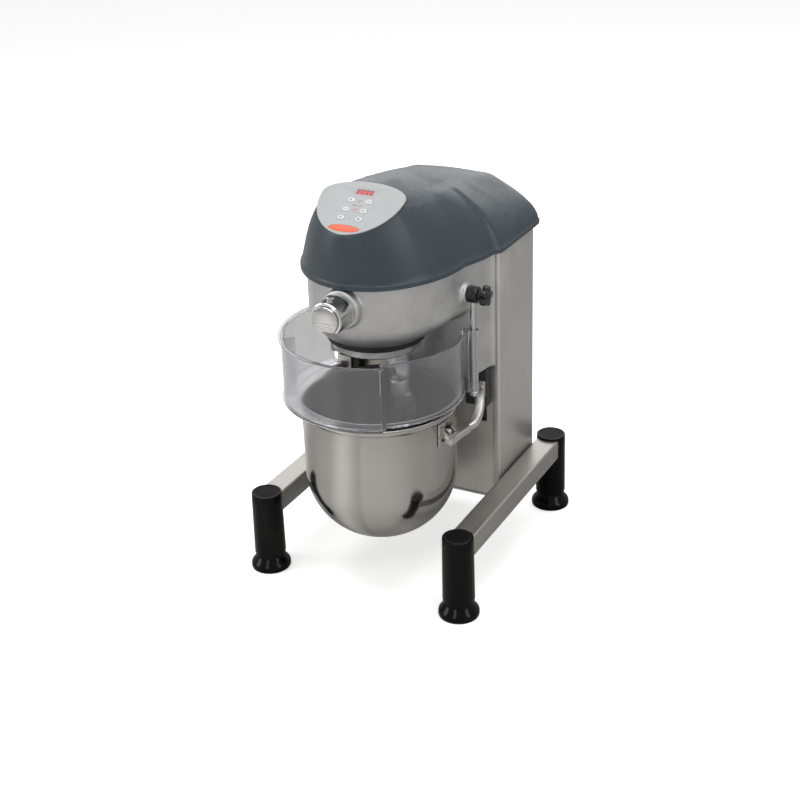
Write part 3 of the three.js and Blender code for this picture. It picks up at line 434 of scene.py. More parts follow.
# Painted shade: the inside's colour is blended most of the way to a dark grey; the added roughness is the
# steel's own.
inside_with_painted_shade = blend_colour(tree, plus(tree, inside, 0.8, "MULTIPLY"), outside_colour, (0.20, 0.196, 0.188))
tree.links.new(inside_with_painted_shade, shader.inputs["Base Color"])
tree.links.new(plus(tree, outside_gloss, plus(tree, inside, 0.22, "MULTIPLY")), shader.inputs["Roughness"])

# %% Turned, ground and polished metals
turned_steel = worked_metal("turned_steel", (0.42, 0.42, 0.42), (0.58, 0.58, 0.575),
                            (0.16, 0.28), (60, 60, 900), hands=0.05, dusty=0.05)
rod_steel = worked_metal("ground_rod_steel", (0.46, 0.46, 0.46), (0.6, 0.6, 0.6),
                         (0.1, 0.2), (300, 300, 300), hands=0.05, dusty=0)
plain_steel = worked_metal("plain_steel", (0.22, 0.22, 0.22), (0.4, 0.4, 0.4),
                           (0.35, 0.55), (80, 80, 80), dusty=0.3)
hub_alloy = worked_metal("polished_hub_alloy", (0.55, 0.55, 0.54), (0.7, 0.7, 0.69),
                         (0.1, 0.2), (500, 500, 30), cloud=9.0, bump=0.01, hands=0.1, dusty=0.03)

# %% [markdown]
# Cast metal keeps a faint skin from its mould: soft mottling and tiny grit. Its hollows get painted shade,
# darker in colour.
# The same network in another tone serves the arms and the tool.

# %% Cast metal
def cast_metal(name, dark, light, rough=(0.3, 0.42), size=60.0, bump=0.12, metal=0.9):
    finish, tree, shader, spot = start_finish(name)
    surface = use(tree, skin, Place=spot, Size=size)
    worn = use(tree, rub_and_hollow_shade, Place=spot, Amount=0.6)
    touch = use(tree, marks, Place=spot, Amount=0.15)
    settled = use(tree, dust, Place=spot, Amount=0.15)
    colour = blend_colour(tree, span(tree, surface.outputs["Mottle"], 0, 1, 0.35, 0.65), dark, light)
    # Painted shade: hollow places are darkened towards under half the dark tone.
    colour = blend_colour(tree, span(tree, worn.outputs["PaintedHollowShade"], 0, 0.35), colour,
                          tuple(v * 0.45 for v in dark))
    colour = blend_colour(tree, worn.outputs["Edge"], colour, tuple(min(1, v * 1.3) for v in light))
    colour = blend_colour(tree, settled.outputs["Mask"], colour, (0.5, 0.49, 0.47))
    tree.links.new(colour, shader.inputs["Base Color"])
    gloss = plus(tree, span(tree, surface.outputs["Mottle"], rough[0], rough[1], 0.35, 0.65),
                 touch.outputs["Mask"])
    tree.links.new(gloss, shader.inputs["Roughness"])
    shader.inputs["Metallic"].default_value = metal
    relief = add(tree, "ShaderNodeBump", {"Strength": bump, "Distance": 0.0006,
                                          "Height": surface.outputs["Height"]})
    tree.links.new(relief.outputs[0], shader.inputs["Normal"])
    return finish


head_alloy = cast_metal("cast_head_alloy", (0.47, 0.47, 0.47), (0.56, 0.56, 0.56), (0.36, 0.46),
                        bump=0.08, metal=0.8)
arm_alloy = cast_metal("cast_arm_alloy", (0.5, 0.49, 0.47), (0.62, 0.61, 0.59))
tool_alloy = cast_metal("cast_tool_alloy", (0.48, 0.48, 0.47), (0.62, 0.62, 0.6), (0.25, 0.38))

# %% [markdown]
# ## Moulded plastics and rubber
# Plastic is darker in tone but shows its mould just as clearly: a fine pebbled grain, a soft
# sheen where hands wipe it, paler edges, and a little dust on top.

# %% Moulded plastic
def moulded(name, dark, light, rough, size=900.0, bump=0.15, edge=0.3, dusty=0.12, hands=0.12,
            pale=(0.3, 0.31, 0.32), shine=0.5):
    finish, tree, shader, spot = start_finish(name)
    shader.inputs["Specular IOR Level"].default_value = shine
    grain = use(tree, mould, Place=spot, Size=size)
    touch = use(tree, marks, Place=spot, Amount=hands)
    worn = use(tree, rub_and_hollow_shade, Place=spot, Amount=edge)
    settled = use(tree, dust, Place=spot, Amount=dusty)
    clouding = add(tree, "ShaderNodeTexNoise", {"Vector": spot, "Scale": 9.0, "Detail": 3.0})
    colour = blend_colour(tree, span(tree, clouding.outputs["Fac"], 0, 1, 0.3, 0.7), dark, light)
    colour = blend_colour(tree, worn.outputs["Edge"], colour, pale)
    colour = blend_colour(tree, settled.outputs["Mask"], colour, (0.4, 0.39, 0.37))
    tree.links.new(colour, shader.inputs["Base Color"])
    gloss = plus(tree, span(tree, clouding.outputs["Fac"], rough[0], rough[1], 0.3, 0.7),
                 touch.outputs["Mask"])
    tree.links.new(gloss, shader.inputs["Roughness"])
    relief = add(tree, "ShaderNodeBump", {"Strength": bump, "Distance": 0.0004,
                                          "Height": grain.outputs["Height"]})
    tree.links.new(relief.outputs[0], shader.inputs["Normal"])
    return finish


slate_hood = moulded("slate_hood_plastic", (0.026, 0.038, 0.048), (0.030, 0.044, 0.055),
                     (0.36, 0.44), bump=0.03, edge=0.15, dusty=0.10, pale=(0.07, 0.095, 0.11))
post_black = moulded("gloss_black_plastic", (0.0003, 0.0003, 0.0004), (0.0008, 0.0008, 0.001),
                     (0.14, 0.2), bump=0.03, edge=0.05, dusty=0.01, hands=0.02,
                     pale=(0.012, 0.012, 0.013), shine=0.16)
cap_black = moulded("matt_cap_plastic", (0.0012, 0.0013, 0.0015), (0.002, 0.0021, 0.0024),
                    (0.5, 0.62), bump=0.1, dusty=0.01, hands=0.02, shine=0.1)
knob_black = moulded("knob_plastic", (0.008, 0.008, 0.009), (0.014, 0.014, 0.015), (0.22, 0.32),
                     bump=0.08, pale=(0.06, 0.06, 0.065))
cradle_black = moulded("cradle_black_paint", (0.010, 0.010, 0.011), (0.02, 0.02, 0.021),
                       (0.4, 0.55), size=500.0, pale=(0.12, 0.12, 0.12))
seal_rubber = moulded("seal_rubber", (0.002, 0.002, 0.002), (0.004, 0.004, 0.004), (0.5, 0.65),
                      size=700.0, bump=0.25, pale=(0.04, 0.04, 0.04))
membrane_grey = moulded("membrane_grey", (0.31, 0.318, 0.32), (0.34, 0.35, 0.352), (0.34, 0.44),
                        size=1500.0, bump=0.06, dusty=0.05, pale=(0.6, 0.62, 0.63))
key_white = moulded("key_white", (0.52, 0.525, 0.53), (0.58, 0.585, 0.59), (0.3, 0.4),
                    size=1500.0, bump=0.05, dusty=0.03, pale=(0.9, 0.9, 0.9))
badge_orange = moulded("badge_orange", (0.66, 0.085, 0.028), (0.76, 0.12, 0.04), (0.26, 0.36),
                       size=1500.0, bump=0.04, dusty=0.04, pale=(0.85, 0.3, 0.2))
print_grey = moulded("printed_grey", (0.12, 0.13, 0.15), (0.17, 0.18, 0.2), (0.45, 0.55), bump=0.04)
print_red = moulded("printed_red", (0.5, 0.06, 0.05), (0.58, 0.09, 0.08), (0.45, 0.55), bump=0.04)
board_green = moulded("board_green", (0.010, 0.07, 0.022), (0.02, 0.11, 0.04), (0.35, 0.5))
motor_grey = moulded("motor_paint", (0.05, 0.055, 0.06), (0.08, 0.085, 0.09), (0.4, 0.55),
                     size=400.0, bump=0.3, dusty=0.4)
display_glass = moulded("display_red", (0.20, 0.012, 0.020), (0.27, 0.018, 0.028), (0.1, 0.16),
                        bump=0.02, dusty=0.03, pale=(0.4, 0.05, 0.06))

# %% [markdown]
# ## Clear moulding
# The guard is one thick clear moulding. Light goes through it, so the shader carries the
# transmission, and only the roughness and a slight waviness of the surface change from place
# to place.

# %% Clear plastic
clear_plastic, tree, shader, spot = start_finish("clear_guard_plastic")
clear_marks = use(tree, marks, Place=spot, Amount=0.08)
clear_waves = use(tree, mould, Place=spot, Size=240.0)
shader.inputs["Transmission Weight"].default_value = 0.94
shader.inputs["IOR"].default_value = 1.46
scuffs = add(tree, "ShaderNodeTexNoise", {"Vector": spot, "Scale": 26.0, "Detail": 5.0})
tree.links.new(blend_colour(tree, span(tree, scuffs.outputs["Fac"], 0, 1, 0.3, 0.7),
                            (0.80, 0.80, 0.83), (0.88, 0.88, 0.91)), shader.inputs["Base Color"])
tree.links.new(plus(tree, span(tree, scuffs.outputs["Fac"], 0.05, 0.11, 0.3, 0.7),
                    clear_marks.outputs["Mask"]), shader.inputs["Roughness"])
relief = add(tree, "ShaderNodeBump", {"Strength": 0.05, "Distance": 0.0006,
                                      "Height": clear_waves.outputs["Height"]})
tree.links.new(relief.outputs[0], shader.inputs["Normal"])

# %% [markdown]
# ## Dressing the parts that keep their shape
# Flat sheets and the works inside the head are already right in shape, so they only receive a
# finish. Every material slot of the model is matched to one finish by name.

# %% Finishes for the model's own parts
FINISH_OF_SLOT = {
    "brushed_steel": column_steel, "polished_steel": rod_steel, "cast_alloy": head_alloy,
    "machined_steel": plain_steel, "black_plastic": post_black, "cap_plastic": cap_black,
    "slate_plastic": slate_hood, "panel_grey": membrane_grey, "display_red": display_glass,
    "badge_orange": badge_orange, "button_white": key_white, "board_green": board_green,
    "motor_paint": motor_grey, "rubber_black": seal_rubber, "cradle_black": cradle_black,
    "clear_guard": clear_plastic,
}

# %% Dress the model's own parts
slots_of_node = {part["node"]: part["material_slot"] for part in frame["record"]["subparts"]}
for node_name, solid in frame["nodes"].items():
    finish = FINISH_OF_SLOT[slots_of_node[node_name]]
    solid.data.materials.clear()
    solid.data.materials.append(finish)
frame["nodes"]["drive_belt"].data.materials[0] = seal_rubber
for node_name in ("rail_left", "rail_right"):
    frame["nodes"][node_name].data.materials[0] = rail_steel
print("dressed", len(frame["nodes"]), "parts")

# %% [markdown]
# ## Helpers for shaping
# Every new piece starts as a primitive. Operators work on whatever is selected, so the first
# helper clears the selection. The second one settles a finished piece: its place goes into its
# mesh, its faces point outwards, and it rides on the body that carries the real part.

# %% Start and settle
def clear_selection():
    if bpy.context.object and bpy.context.object.mode != "OBJECT":
        bpy.ops.object.mode_set(mode="OBJECT")
    bpy.ops.object.select_all(action="DESELECT")


def only(piece):
    clear_selection()
    piece.select_set(True)
    bpy.context.view_layer.objects.active = piece


def face_outwards(piece):
    shape = bmesh.new()
    shape.from_mesh(piece.data)
    if shape.calc_volume(signed=True) < 0:
        bmesh.ops.reverse_faces(shape, faces=shape.faces)
        shape.to_mesh(piece.data)
    shape.free()


def settle(piece, name, finish, body, replaced=(), crease=32):
    only(piece)
    bpy.ops.object.transform_apply(location=True, rotation=True, scale=True)
    face_outwards(piece)
    bpy.ops.object.shade_smooth_by_angle(angle=math.radians(crease))
    piece.name = name
    piece.data.name = name
    if finish is not None:
        piece.data.materials.clear()
        piece.data.materials.append(finish)
    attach(piece, body)
    if replaced:
        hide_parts(*replaced)
    return piece


# %% [markdown]
# A modifier is applied at once, so the piece on the screen is the piece that is kept. Real
# edges are never perfectly sharp, and a narrow bevel on the sharp ones catches the light.

# %% Modifiers
def apply_modifier(piece, kind, **settings):
    only(piece)
    modifier = piece.modifiers.new(kind.lower(), kind)
    for key, value in settings.items():
        setattr(modifier, key, value)
    bpy.ops.object.modifier_apply(modifier=modifier.name)


def soften(piece, width, segments=3, angle=30):
    apply_modifier(piece, "BEVEL", width=width * MM, segments=segments, limit_method="ANGLE",
                   angle_limit=math.radians(angle), harden_normals=False)


def combine(piece, other, operation):
    only(piece)
    modifier = piece.modifiers.new("cut", "BOOLEAN")
    modifier.operation = operation
    modifier.solver = "EXACT"
    modifier.object = other
    bpy.ops.object.modifier_apply(modifier=modifier.name)
    bpy.data.objects.remove(other)


def join(first, *others):
    only(first)
    for other in others:
        other.select_set(True)
    bpy.ops.object.join()
    return first


# %% [markdown]
# A turned part is drawn as half a section and spun round its axis. The section starts as one
# point, and the point is extruded step by step along the outline, as it would be by hand.

# %% Turned parts
SIDEWAYS = {"Z": Vector((1, 0, 0)), "Y": Vector((1, 0, 0)), "X": Vector((0, 1, 0))}
ALONG = {"Z": Vector((0, 0, 1)), "Y": Vector((0, 1, 0)), "X": Vector((1, 0, 0))}


def turned(section, centre, axis="Z", steps=96):
    points = [centre + (SIDEWAYS[axis] * r + ALONG[axis] * h) * MM for r, h in section]
    clear_selection()
    bpy.ops.mesh.primitive_plane_add(size=0.002, location=points[0])
    piece = bpy.context.active_object
    bpy.ops.object.transform_apply(location=True, rotation=True, scale=True)
    bpy.ops.object.mode_set(mode="EDIT")
    bpy.ops.mesh.select_all(action="SELECT")
    bpy.ops.mesh.merge(type="CENTER")
    for before, after in zip(points, points[1:]):
        bpy.ops.mesh.extrude_vertices_move(TRANSFORM_OT_translate={"value": after - before})
    bpy.ops.mesh.select_all(action="SELECT")
    bpy.ops.mesh.spin(steps=steps, angle=math.tau, center=centre, axis=ALONG[axis])
    bpy.ops.mesh.select_all(action="SELECT")
    bpy.ops.mesh.remove_doubles(threshold=0.00002)
    bpy.ops.mesh.normals_make_consistent(inside=False)
    bpy.ops.object.mode_set(mode="OBJECT")
    return piece


# %% [markdown]
# A block starts as a cube of its true size and gets its rounded edges at once.

# %% Blocks
def block(low, high, edge=0.0, segments=3):
    low, high = place(*low), place(*high)
    clear_selection()
    bpy.ops.mesh.primitive_cube_add(size=1, location=(low + high) / 2)
    piece = bpy.context.active_object
    piece.scale = high - low
    bpy.ops.object.transform_apply(location=True, rotation=True, scale=True)
    if edge:
        bpy.ops.object.mode_set(mode="EDIT")
        bpy.ops.mesh.select_all(action="SELECT")
        bpy.ops.mesh.bevel(offset=edge * MM, segments=segments, affect="EDGES")
        bpy.ops.object.mode_set(mode="OBJECT")
    return piece


# %% [markdown]
# A free form, such as the hood, is a sheet wrapped round a form: a grid is added, and every row
# of its points is laid on one ring of the form. Where the two side edges meet they are merged,
# and open ends can be closed with a face.

# %% Wrapped sheets
def wrapped(rings, round_trip=True, close_ends=False):
    rows = [list(ring) + ([ring[0]] if round_trip else []) for ring in rings]
    clear_selection()
    bpy.ops.mesh.primitive_grid_add(x_subdivisions=len(rows[0]) - 1, y_subdivisions=len(rows) - 1,
                                    size=1)
    piece = bpy.context.active_object
    spots = [value for row in rows for point in row for value in point]
    piece.data.vertices.foreach_set("co", spots)
    piece.data.update()
    bpy.ops.object.mode_set(mode="EDIT")
    bpy.ops.mesh.select_all(action="SELECT")
    bpy.ops.mesh.remove_doubles(threshold=0.00003)
    if close_ends:
        bpy.ops.mesh.select_all(action="DESELECT")
        bpy.ops.mesh.select_non_manifold(extend=False, use_wire=False, use_multi_face=False,
                                         use_non_contiguous=False, use_verts=False)
        bpy.ops.mesh.fill_holes(sides=0)
        bpy.ops.mesh.select_all(action="SELECT")
    bpy.ops.mesh.normals_make_consistent(inside=False)
    bpy.ops.object.mode_set(mode="OBJECT")
    return piece


def mix(a, b, t):
    return a + (b - a) * t


def ease(low, high, value):
    t = min(1.0, max(0.0, (value - low) / (high - low)))
    return t * t * (3 - 2 * t)


print("helpers ready")

# %% [markdown]
# ## Posts, caps and feet
# Four posts carry the stand. Each is a moulded tube with a recessed cap on top and a bell-shaped
# foot below. All three are round, so they are turned. One set is made and then copied to the four
# corners, each copy with a mesh of its own.

# %% One post, one cap, one foot
POST_X, POST_Y = 175, 194
on_floor = Vector((0, MIDDLE, 0))
post = turned([(21.7, 135.9), (21.7, 139.0), (22.2, 139.6), (23.8, 139.6), (24.6, 139.1), (25, 138.2),
               (25.2, 126), (25.35, 124.6), (25.2, 123.2), (26, 31), (25.8, 28.4), (24.6, 27.5),
               (20, 27.2), (19, 60), (19, 133), (0, 133), (0, 135.9), (21.7, 135.9)], on_floor)
cap = turned([(0, 136.1), (21.2, 136.1), (21.2, 138.7), (20.9, 139.3), (20.0, 139.7), (18.6, 139.4),
              (17.4, 139.35), (4, 139.6), (0, 139.65)], on_floor)
foot = turned([(0, 0), (31, 0), (32.4, 0.7), (33, 2.4), (32.9, 8.0), (32.2, 10.2), (29.6, 13.6),
               (26.6, 17.4), (24.2, 20.6), (23.2, 22.8), (22.6, 24.2), (22.4, 26.6), (18.4, 26.9),
               (18.4, 60), (17.2, 62), (0, 62)], on_floor)
print("post faces", len(post.data.polygons))


# %% Copies at the corners
def copy_of(piece):
    twin = piece.copy()
    twin.data = piece.data.copy()
    bpy.context.scene.collection.objects.link(twin)
    return twin


def shifted(piece, offset):
    piece.data.transform(Matrix.Translation(Vector(offset) * MM))
    return piece


for end, y in (("front", -POST_Y), ("rear", POST_Y)):
    for side, x in (("left", -POST_X), ("right", POST_X)):
        spot = f"{end}_{side}"
        new_post = shifted(copy_of(post), (x, y, 0))
        settle(new_post, f"post_{spot}", post_black, "mixer_frame", [f"leg_post_{spot}"])
        new_cap = shifted(copy_of(cap), (x, y, 0))
        settle(new_cap, f"cap_{spot}", cap_black, "mixer_frame", [f"leg_cap_{spot}"], 25)
        new_foot = shifted(copy_of(foot), (x, y, 0))
        settle(new_foot, f"bell_foot_{spot}", post_black, "mixer_frame", [f"foot_{spot}"],
               28)
for made in (post, cap, foot):
    bpy.data.objects.remove(made)

# %% [markdown]
# ## Rails
# Each rail is square tube. A cube gets its end faces removed, its long edges rounded, and then
# a wall of 2 mm grown inwards. Its ends are cut hollow, so that they close on the round posts.

# %% Square tube
def rail(side, x):
    tube = block((x - 20, -186, 99), (x + 20, 186, 135))
    bpy.ops.object.mode_set(mode="EDIT")
    mesh = bmesh.from_edit_mesh(tube.data)
    for face in mesh.faces:
        face.select = abs(face.normal.y) > 0.9
    bmesh.update_edit_mesh(tube.data)
    bpy.ops.mesh.delete(type="ONLY_FACE")
    for edge in bmesh.from_edit_mesh(tube.data).edges:
        first, second = (v.co for v in edge.verts)
        edge.select = abs(first.y - second.y) > 0.1
    bpy.ops.mesh.bevel(offset=4 * MM, segments=5, affect="EDGES")
    bpy.ops.mesh.select_all(action="SELECT")
    bpy.ops.mesh.normals_make_consistent(inside=False)
    bpy.ops.object.mode_set(mode="OBJECT")
    apply_modifier(tube, "SOLIDIFY", thickness=2 * MM, offset=-1)
    for y in (-POST_Y, POST_Y):
        cope = turned([(0, 80), (25.3, 80), (25.3, 150), (0, 150)], place(x, y, 0))
        face_outwards(cope)
        combine(tube, cope, "DIFFERENCE")
    return settle(tube, f"tube_{side}", rail_steel, "mixer_frame", [f"rail_{side}"])


rail("left", -POST_X)
rail("right", POST_X)

# %% [markdown]
# ## Column sheets
# The column is folded from sheet 1.5 mm thick. A fold is drawn as a line on the floor plan that
# turns its corners, is pulled upwards to full height, gets its corners rounded, and is then
# thickened. The cheeks fold inwards at the front and at the back.

# %% Folded sheet
def folded_sheet(plan, low, high, bend, thickness=1.5):
    points = [place(x, y, low) for x, y in plan]
    clear_selection()
    bpy.ops.mesh.primitive_plane_add(size=0.002, location=points[0])
    piece = bpy.context.active_object
    bpy.ops.object.transform_apply(location=True, rotation=True, scale=True)
    bpy.ops.object.mode_set(mode="EDIT")
    bpy.ops.mesh.select_all(action="SELECT")
    bpy.ops.mesh.merge(type="CENTER")
    for before, after in zip(points, points[1:]):
        bpy.ops.mesh.extrude_vertices_move(TRANSFORM_OT_translate={"value": after - before})
    bpy.ops.mesh.select_all(action="SELECT")
    bpy.ops.mesh.extrude_edges_move(TRANSFORM_OT_translate={"value": (0, 0, (high - low) * MM)})
    mesh = bmesh.from_edit_mesh(piece.data)
    for edge in mesh.edges:
        edge.select = len(edge.link_faces) == 2
    bmesh.update_edit_mesh(piece.data)
    bpy.ops.mesh.bevel(offset=bend * MM, segments=5, affect="EDGES")
    bpy.ops.mesh.select_all(action="SELECT")
    bpy.ops.mesh.normals_make_consistent(inside=False)
    bpy.ops.object.mode_set(mode="OBJECT")
    return piece


def cheek(side, s):
    half = 0.75
    plan = [(s * 141, 19 + half), (s * (153 - half), 19 + half), (s * (153 - half), 163 - half),
            (s * 141, 163 - half)]
    sheet = folded_sheet(plan, 95.3, 541, 2.2)
    apply_modifier(sheet, "SOLIDIFY", thickness=1.5 * MM, offset=0)
    soften(sheet, 0.25, segments=2, angle=50)
    return settle(sheet, f"cheek_{side}", column_steel, "mixer_frame", [f"column_side_{side}"])


cheek("left", -1)
cheek("right", 1)

# %% [markdown]
# ## Cable gland
# The empty gland on the back cover is a six-sided nut on a round neck with a domed clamping cap.

# %% Gland
gland_centre = place(-110, 0, 130)
neck = turned([(5, -8), (9, -8), (9, 8), (5, 8), (5, -8)], gland_centre + Vector((0, 163 * MM, 0)), "Y")
nut = turned([(5, 2.2), (13, 2.2), (13, 9), (5, 9), (5, 2.2)], gland_centre + Vector((0, 163 * MM, 0)),
             "Y", steps=6)
dome = turned([(5, 9), (10.6, 9), (10.6, 12), (8.6, 14), (6, 14), (5, 13), (5, 9)],
              gland_centre + Vector((0, 163 * MM, 0)), "Y", steps=48)
gland = join(neck, nut, dome)
soften(gland, 0.3, segments=2)
settle(gland, "gland", knob_black, "mixer_frame", ["cable_gland"])
print("stand pieces ready")

# %% [markdown]
# ## The hood
# The hood is one moulded cover: a round nose that widens to the column, a sloping flat for the
# panel, and a long crowned back. Seen from above its rim is an oval nose joined to straight
# sides, so the form is built from that rim: each point of the rim climbs the side, turns over
# the shoulder with a radius, and runs inwards along the top to the middle line.

# %% Rim of the head seen from above
NOSE_HALF, NOSE_REACH, NOSE_Y = 131, 162, -60
COLUMN_FRONT, HOOD_REAR = 19, 184


def head_rim(inset, rear, count):
    right_side = []
    for i in range(25):
        a = i / 24 * math.pi / 2
        right_side.append((
            (NOSE_HALF - inset) * math.sin(a), NOSE_Y - (NOSE_REACH - inset) * math.cos(a)))
    right_side += [
        (144 - inset, -25), (149 - inset, COLUMN_FRONT - 14), (150.5 - inset, COLUMN_FRONT - 7),
        (157 - inset, COLUMN_FRONT - 4), (158 - inset, COLUMN_FRONT + 4), (158 - inset, 90),
        (158 - inset, rear - 14), (154 - inset, rear - 4), (146 - inset, rear)]
    corners = right_side + [(0, rear)]
    for _ in range(2):
        cut = [corners[0]]
        for (x0, y0), (x1, y1) in zip(corners, corners[1:]):
            cut.append((mix(x0, x1, 0.2), mix(y0, y1, 0.2)))
            cut.append((mix(x0, x1, 0.8), mix(y0, y1, 0.8)))
        corners = cut + [corners[-1]]
    half = evenly(corners, count // 2 + 1)
    return half + [(-x, y) for x, y in reversed(half[1:-1])]


def evenly(points, count):
    steps = [0.0]
    for a, b in zip(points, points[1:]):
        steps.append(steps[-1] + math.dist(a, b))
    made, k = [], 0
    for i in range(count):
        goal = steps[-1] * i / (count - 1)
        while k < len(points) - 2 and steps[k + 1] < goal:
            k += 1
        t = (goal - steps[k]) / max(1e-9, steps[k + 1] - steps[k])
        made.append(tuple(mix(p, q, t) for p, q in zip(points[k], points[k + 1])))
    return made


# %% Heights of the top
RIM_Z, PANEL_Y, PANEL_Z, PANEL_TILT = 542, -217, 618, math.radians(26.5)


def panel_height(y):
    return PANEL_Z + (y - PANEL_Y) * math.tan(PANEL_TILT)


def ridge_height(y):
    return 644 - (y + 118) * 0.1 - 0.00015 * max(0, y - 60) ** 2


def ridge_half(y):
    return 80 - (y + 49) * 0.053


def back_height(x, y):
    crown = 670 - (y + 108) * 0.05 - 0.00051 * (y + 108) ** 2
    return crown - (crown - ridge_height(y)) * (x / ridge_half(y)) ** 2


def top_height(x, y, blend=5.0):
    a, b = panel_height(y), back_height(x, y)
    h = max(0.0, blend - abs(a - b)) / blend
    return min(a, b) - h * h * blend / 4


def side_place(x, y, level):
    back = ease(-60, 120, y)
    nose = 0.24 * level + 0.13 * level ** 4
    rear = 0.60 * level ** 2 - 0.055 * level ** 6
    reach = 1 - (0.045 if y < NOSE_Y else 0.03) * level * level
    new_y = NOSE_Y + (y - NOSE_Y) * reach
    ridge = min(panel_height(new_y), ridge_height(new_y))
    return x * (1 - mix(nose, rear, back)), new_y, RIM_Z + level * (ridge - RIM_Z)


# %% Climb the side, turn the shoulder, run along the top
def hood_line(x, y):
    side = [side_place(x, y, i / 60) for i in range(61)]
    sx, sy, ridge = side[-1]
    spine = min(150, max(-175, sy))
    gap = ridge - top_height(sx, sy)
    top = []
    for i in range(1, 81):
        px, py = mix(sx, 0, i / 80), mix(sy, spine, i / 80)
        top.append((px, py, top_height(px, py) + gap * (1 - ease(0, 0.35, i / 80))))
    radius = mix(4.0, 6.0, ease(-120, -20, sy))
    start = max(2, 60 - int(radius / (math.dist(side[0], side[-1]) / 60)))
    end = max(1, int(radius / (math.dist(side[-1], top[-1]) / 80)))
    corner, first, last = side[-1], side[start], top[end]
    turn = [tuple((1 - t) ** 2 * a + 2 * t * (1 - t) * b + t * t * c
                  for a, b, c in zip(first, corner, last)) for t in (i / 8 for i in range(9))]
    return evenly(side[:start], 22) + turn + evenly(top[end + 1:], 26)


HOOD_STEPS = 200
lines = [hood_line(x, y) for x, y in head_rim(0, HOOD_REAR, HOOD_STEPS)]
lip = head_rim(-1.7, HOOD_REAR + 1.7, HOOD_STEPS)
lip_mid = head_rim(-0.4, HOOD_REAR + 0.4, HOOD_STEPS)
rings = [[place(x, y, z) for x, y in ring] for ring, z in (
    (lip_mid, 535.0), (lip, 536.2), (lip, 542.6), (lip_mid, 543.8))]
rings += [[place(*line[k]) for line in lines] for k in range(1, len(lines[0]))]
hood = wrapped(rings)
apply_modifier(hood, "SOLIDIFY", thickness=3 * MM, offset=-1)
settle(hood, "hood_cover", slate_hood, "mixer_frame", ["hood"], crease=40)
print("hood faces", len(hood.data.polygons))

# %% [markdown]
# ## Places on the sloping panel
# Everything on the control panel is drawn flat, with x to the right, y up the slope and z
# standing out of it, and then tipped to the slope. One helper does that for every small part.

# %% Tip to the slope
def tipped(piece):
    tilt = Matrix.Rotation(PANEL_TILT, 4, "X")
    piece.data.transform(Matrix.Translation(place(0, PANEL_Y, PANEL_Z)) @ tilt)
    return piece


def flat_ring(points, z):
    return [Vector((x * MM, y * MM, z * MM)) for x, y in points]


def shield(grow, count=120):
    points = []
    for i in range(count):
        a = math.tau * i / count
        power = 1.12 if math.sin(a) < 0 else 1.0
        x = math.copysign(abs(math.cos(a)) ** power, math.cos(a)) * (71 + grow)
        reach = 84 if math.sin(a) < 0 else 30
        points.append((x, 88 + math.sin(a) * (reach + grow)))
    return points


def oval_ring(x, y, half_x, half_y, count=40):
    return [(x + half_x * math.cos(math.tau * i / count), y + half_y * math.sin(math.tau * i / count))
            for i in range(count)]


# %% [markdown]
# ## Seat in the hood
# The panel lies in a shallow seat. A cutter of the panel's outline, a little larger, takes the
# seat out of the hood, and small wells below the keys let them move.

# %% Cut the seat
cutter = tipped(wrapped([flat_ring(shield(1.0), z) for z in (-1.6, 14)], close_ends=True))
face_outwards(cutter)
combine(hood, cutter, "DIFFERENCE")
KEY_PLACES = [(x, y) for y in (38, 56, 76) for x in (-15, 15)]
wells = [wrapped([flat_ring(oval_ring(x, y, 8, 6.5), z) for z in (-24, 3)], close_ends=True)
         for x, y in KEY_PLACES]
wells.append(wrapped([flat_ring([(-17, 87), (17, 87), (17, 103), (-17, 103)], z) for z in (-24, 3)],
                     close_ends=True))
well = tipped(join(*wells))
face_outwards(well)
combine(hood, well, "DIFFERENCE")
only(hood)
bpy.ops.object.shade_smooth_by_angle(angle=math.radians(40))
print("hood with seat", len(hood.data.polygons))

# %% [markdown]
# ## Panel sheet
# The panel is a printed sheet with a rounded rim. Its edge is built as three rings, so that it
# falls away softly. Thin printed bars stand for the marks between the keys.

# %% Sheet with openings
sheet = wrapped([flat_ring(shield(g), z) for g, z in ((0, -1.5), (0, -0.35), (-0.35, 0.0))],
                close_ends=True)
tools = [wrapped([flat_ring(oval_ring(x, y, 6.7, 5.2), z) for z in (-5, 5)], close_ends=True)
         for x, y in KEY_PLACES]
tools.append(wrapped([flat_ring([(-14.3, 89.7), (14.3, 89.7), (14.3, 100.3), (-14.3, 100.3)], z)
                      for z in (-5, 5)], close_ends=True))
tools.append(wrapped([flat_ring(oval_ring(0, 17, 26.3, 7.3, 64), z) for z in (-5, 5)], close_ends=True))
tool = join(*tools)
face_outwards(sheet)
face_outwards(tool)
combine(sheet, tool, "DIFFERENCE")


def printed_bar(x0, y0, x1, y1, z=0.0, thick=0.12):
    clear_selection()
    bpy.ops.mesh.primitive_cube_add(size=1, location=((x0 + x1) / 2 * MM, (y0 + y1) / 2 * MM,
                                                     (z + thick / 2) * MM))
    bar = bpy.context.active_object
    bar.scale = (abs(x1 - x0) * MM, abs(y1 - y0) * MM, thick * MM)
    bpy.ops.object.transform_apply(location=True, rotation=True, scale=True)
    bpy.ops.object.mode_set(mode="EDIT")
    bpy.ops.mesh.select_all(action="SELECT")
    bpy.ops.mesh.bevel(offset=0.04 * MM, segments=1, affect="EDGES")
    bpy.ops.object.mode_set(mode="OBJECT")
    return bar


def with_print(piece, marks_made, finish):
    piece.data.materials.append(finish)
    slot_number = len(piece.data.materials) - 1
    for mark in marks_made:
        mark.data.materials.clear()
        mark.data.materials.append(finish)
    joined = join(piece, *marks_made)
    print(joined.name, "print slot", slot_number)
    return joined


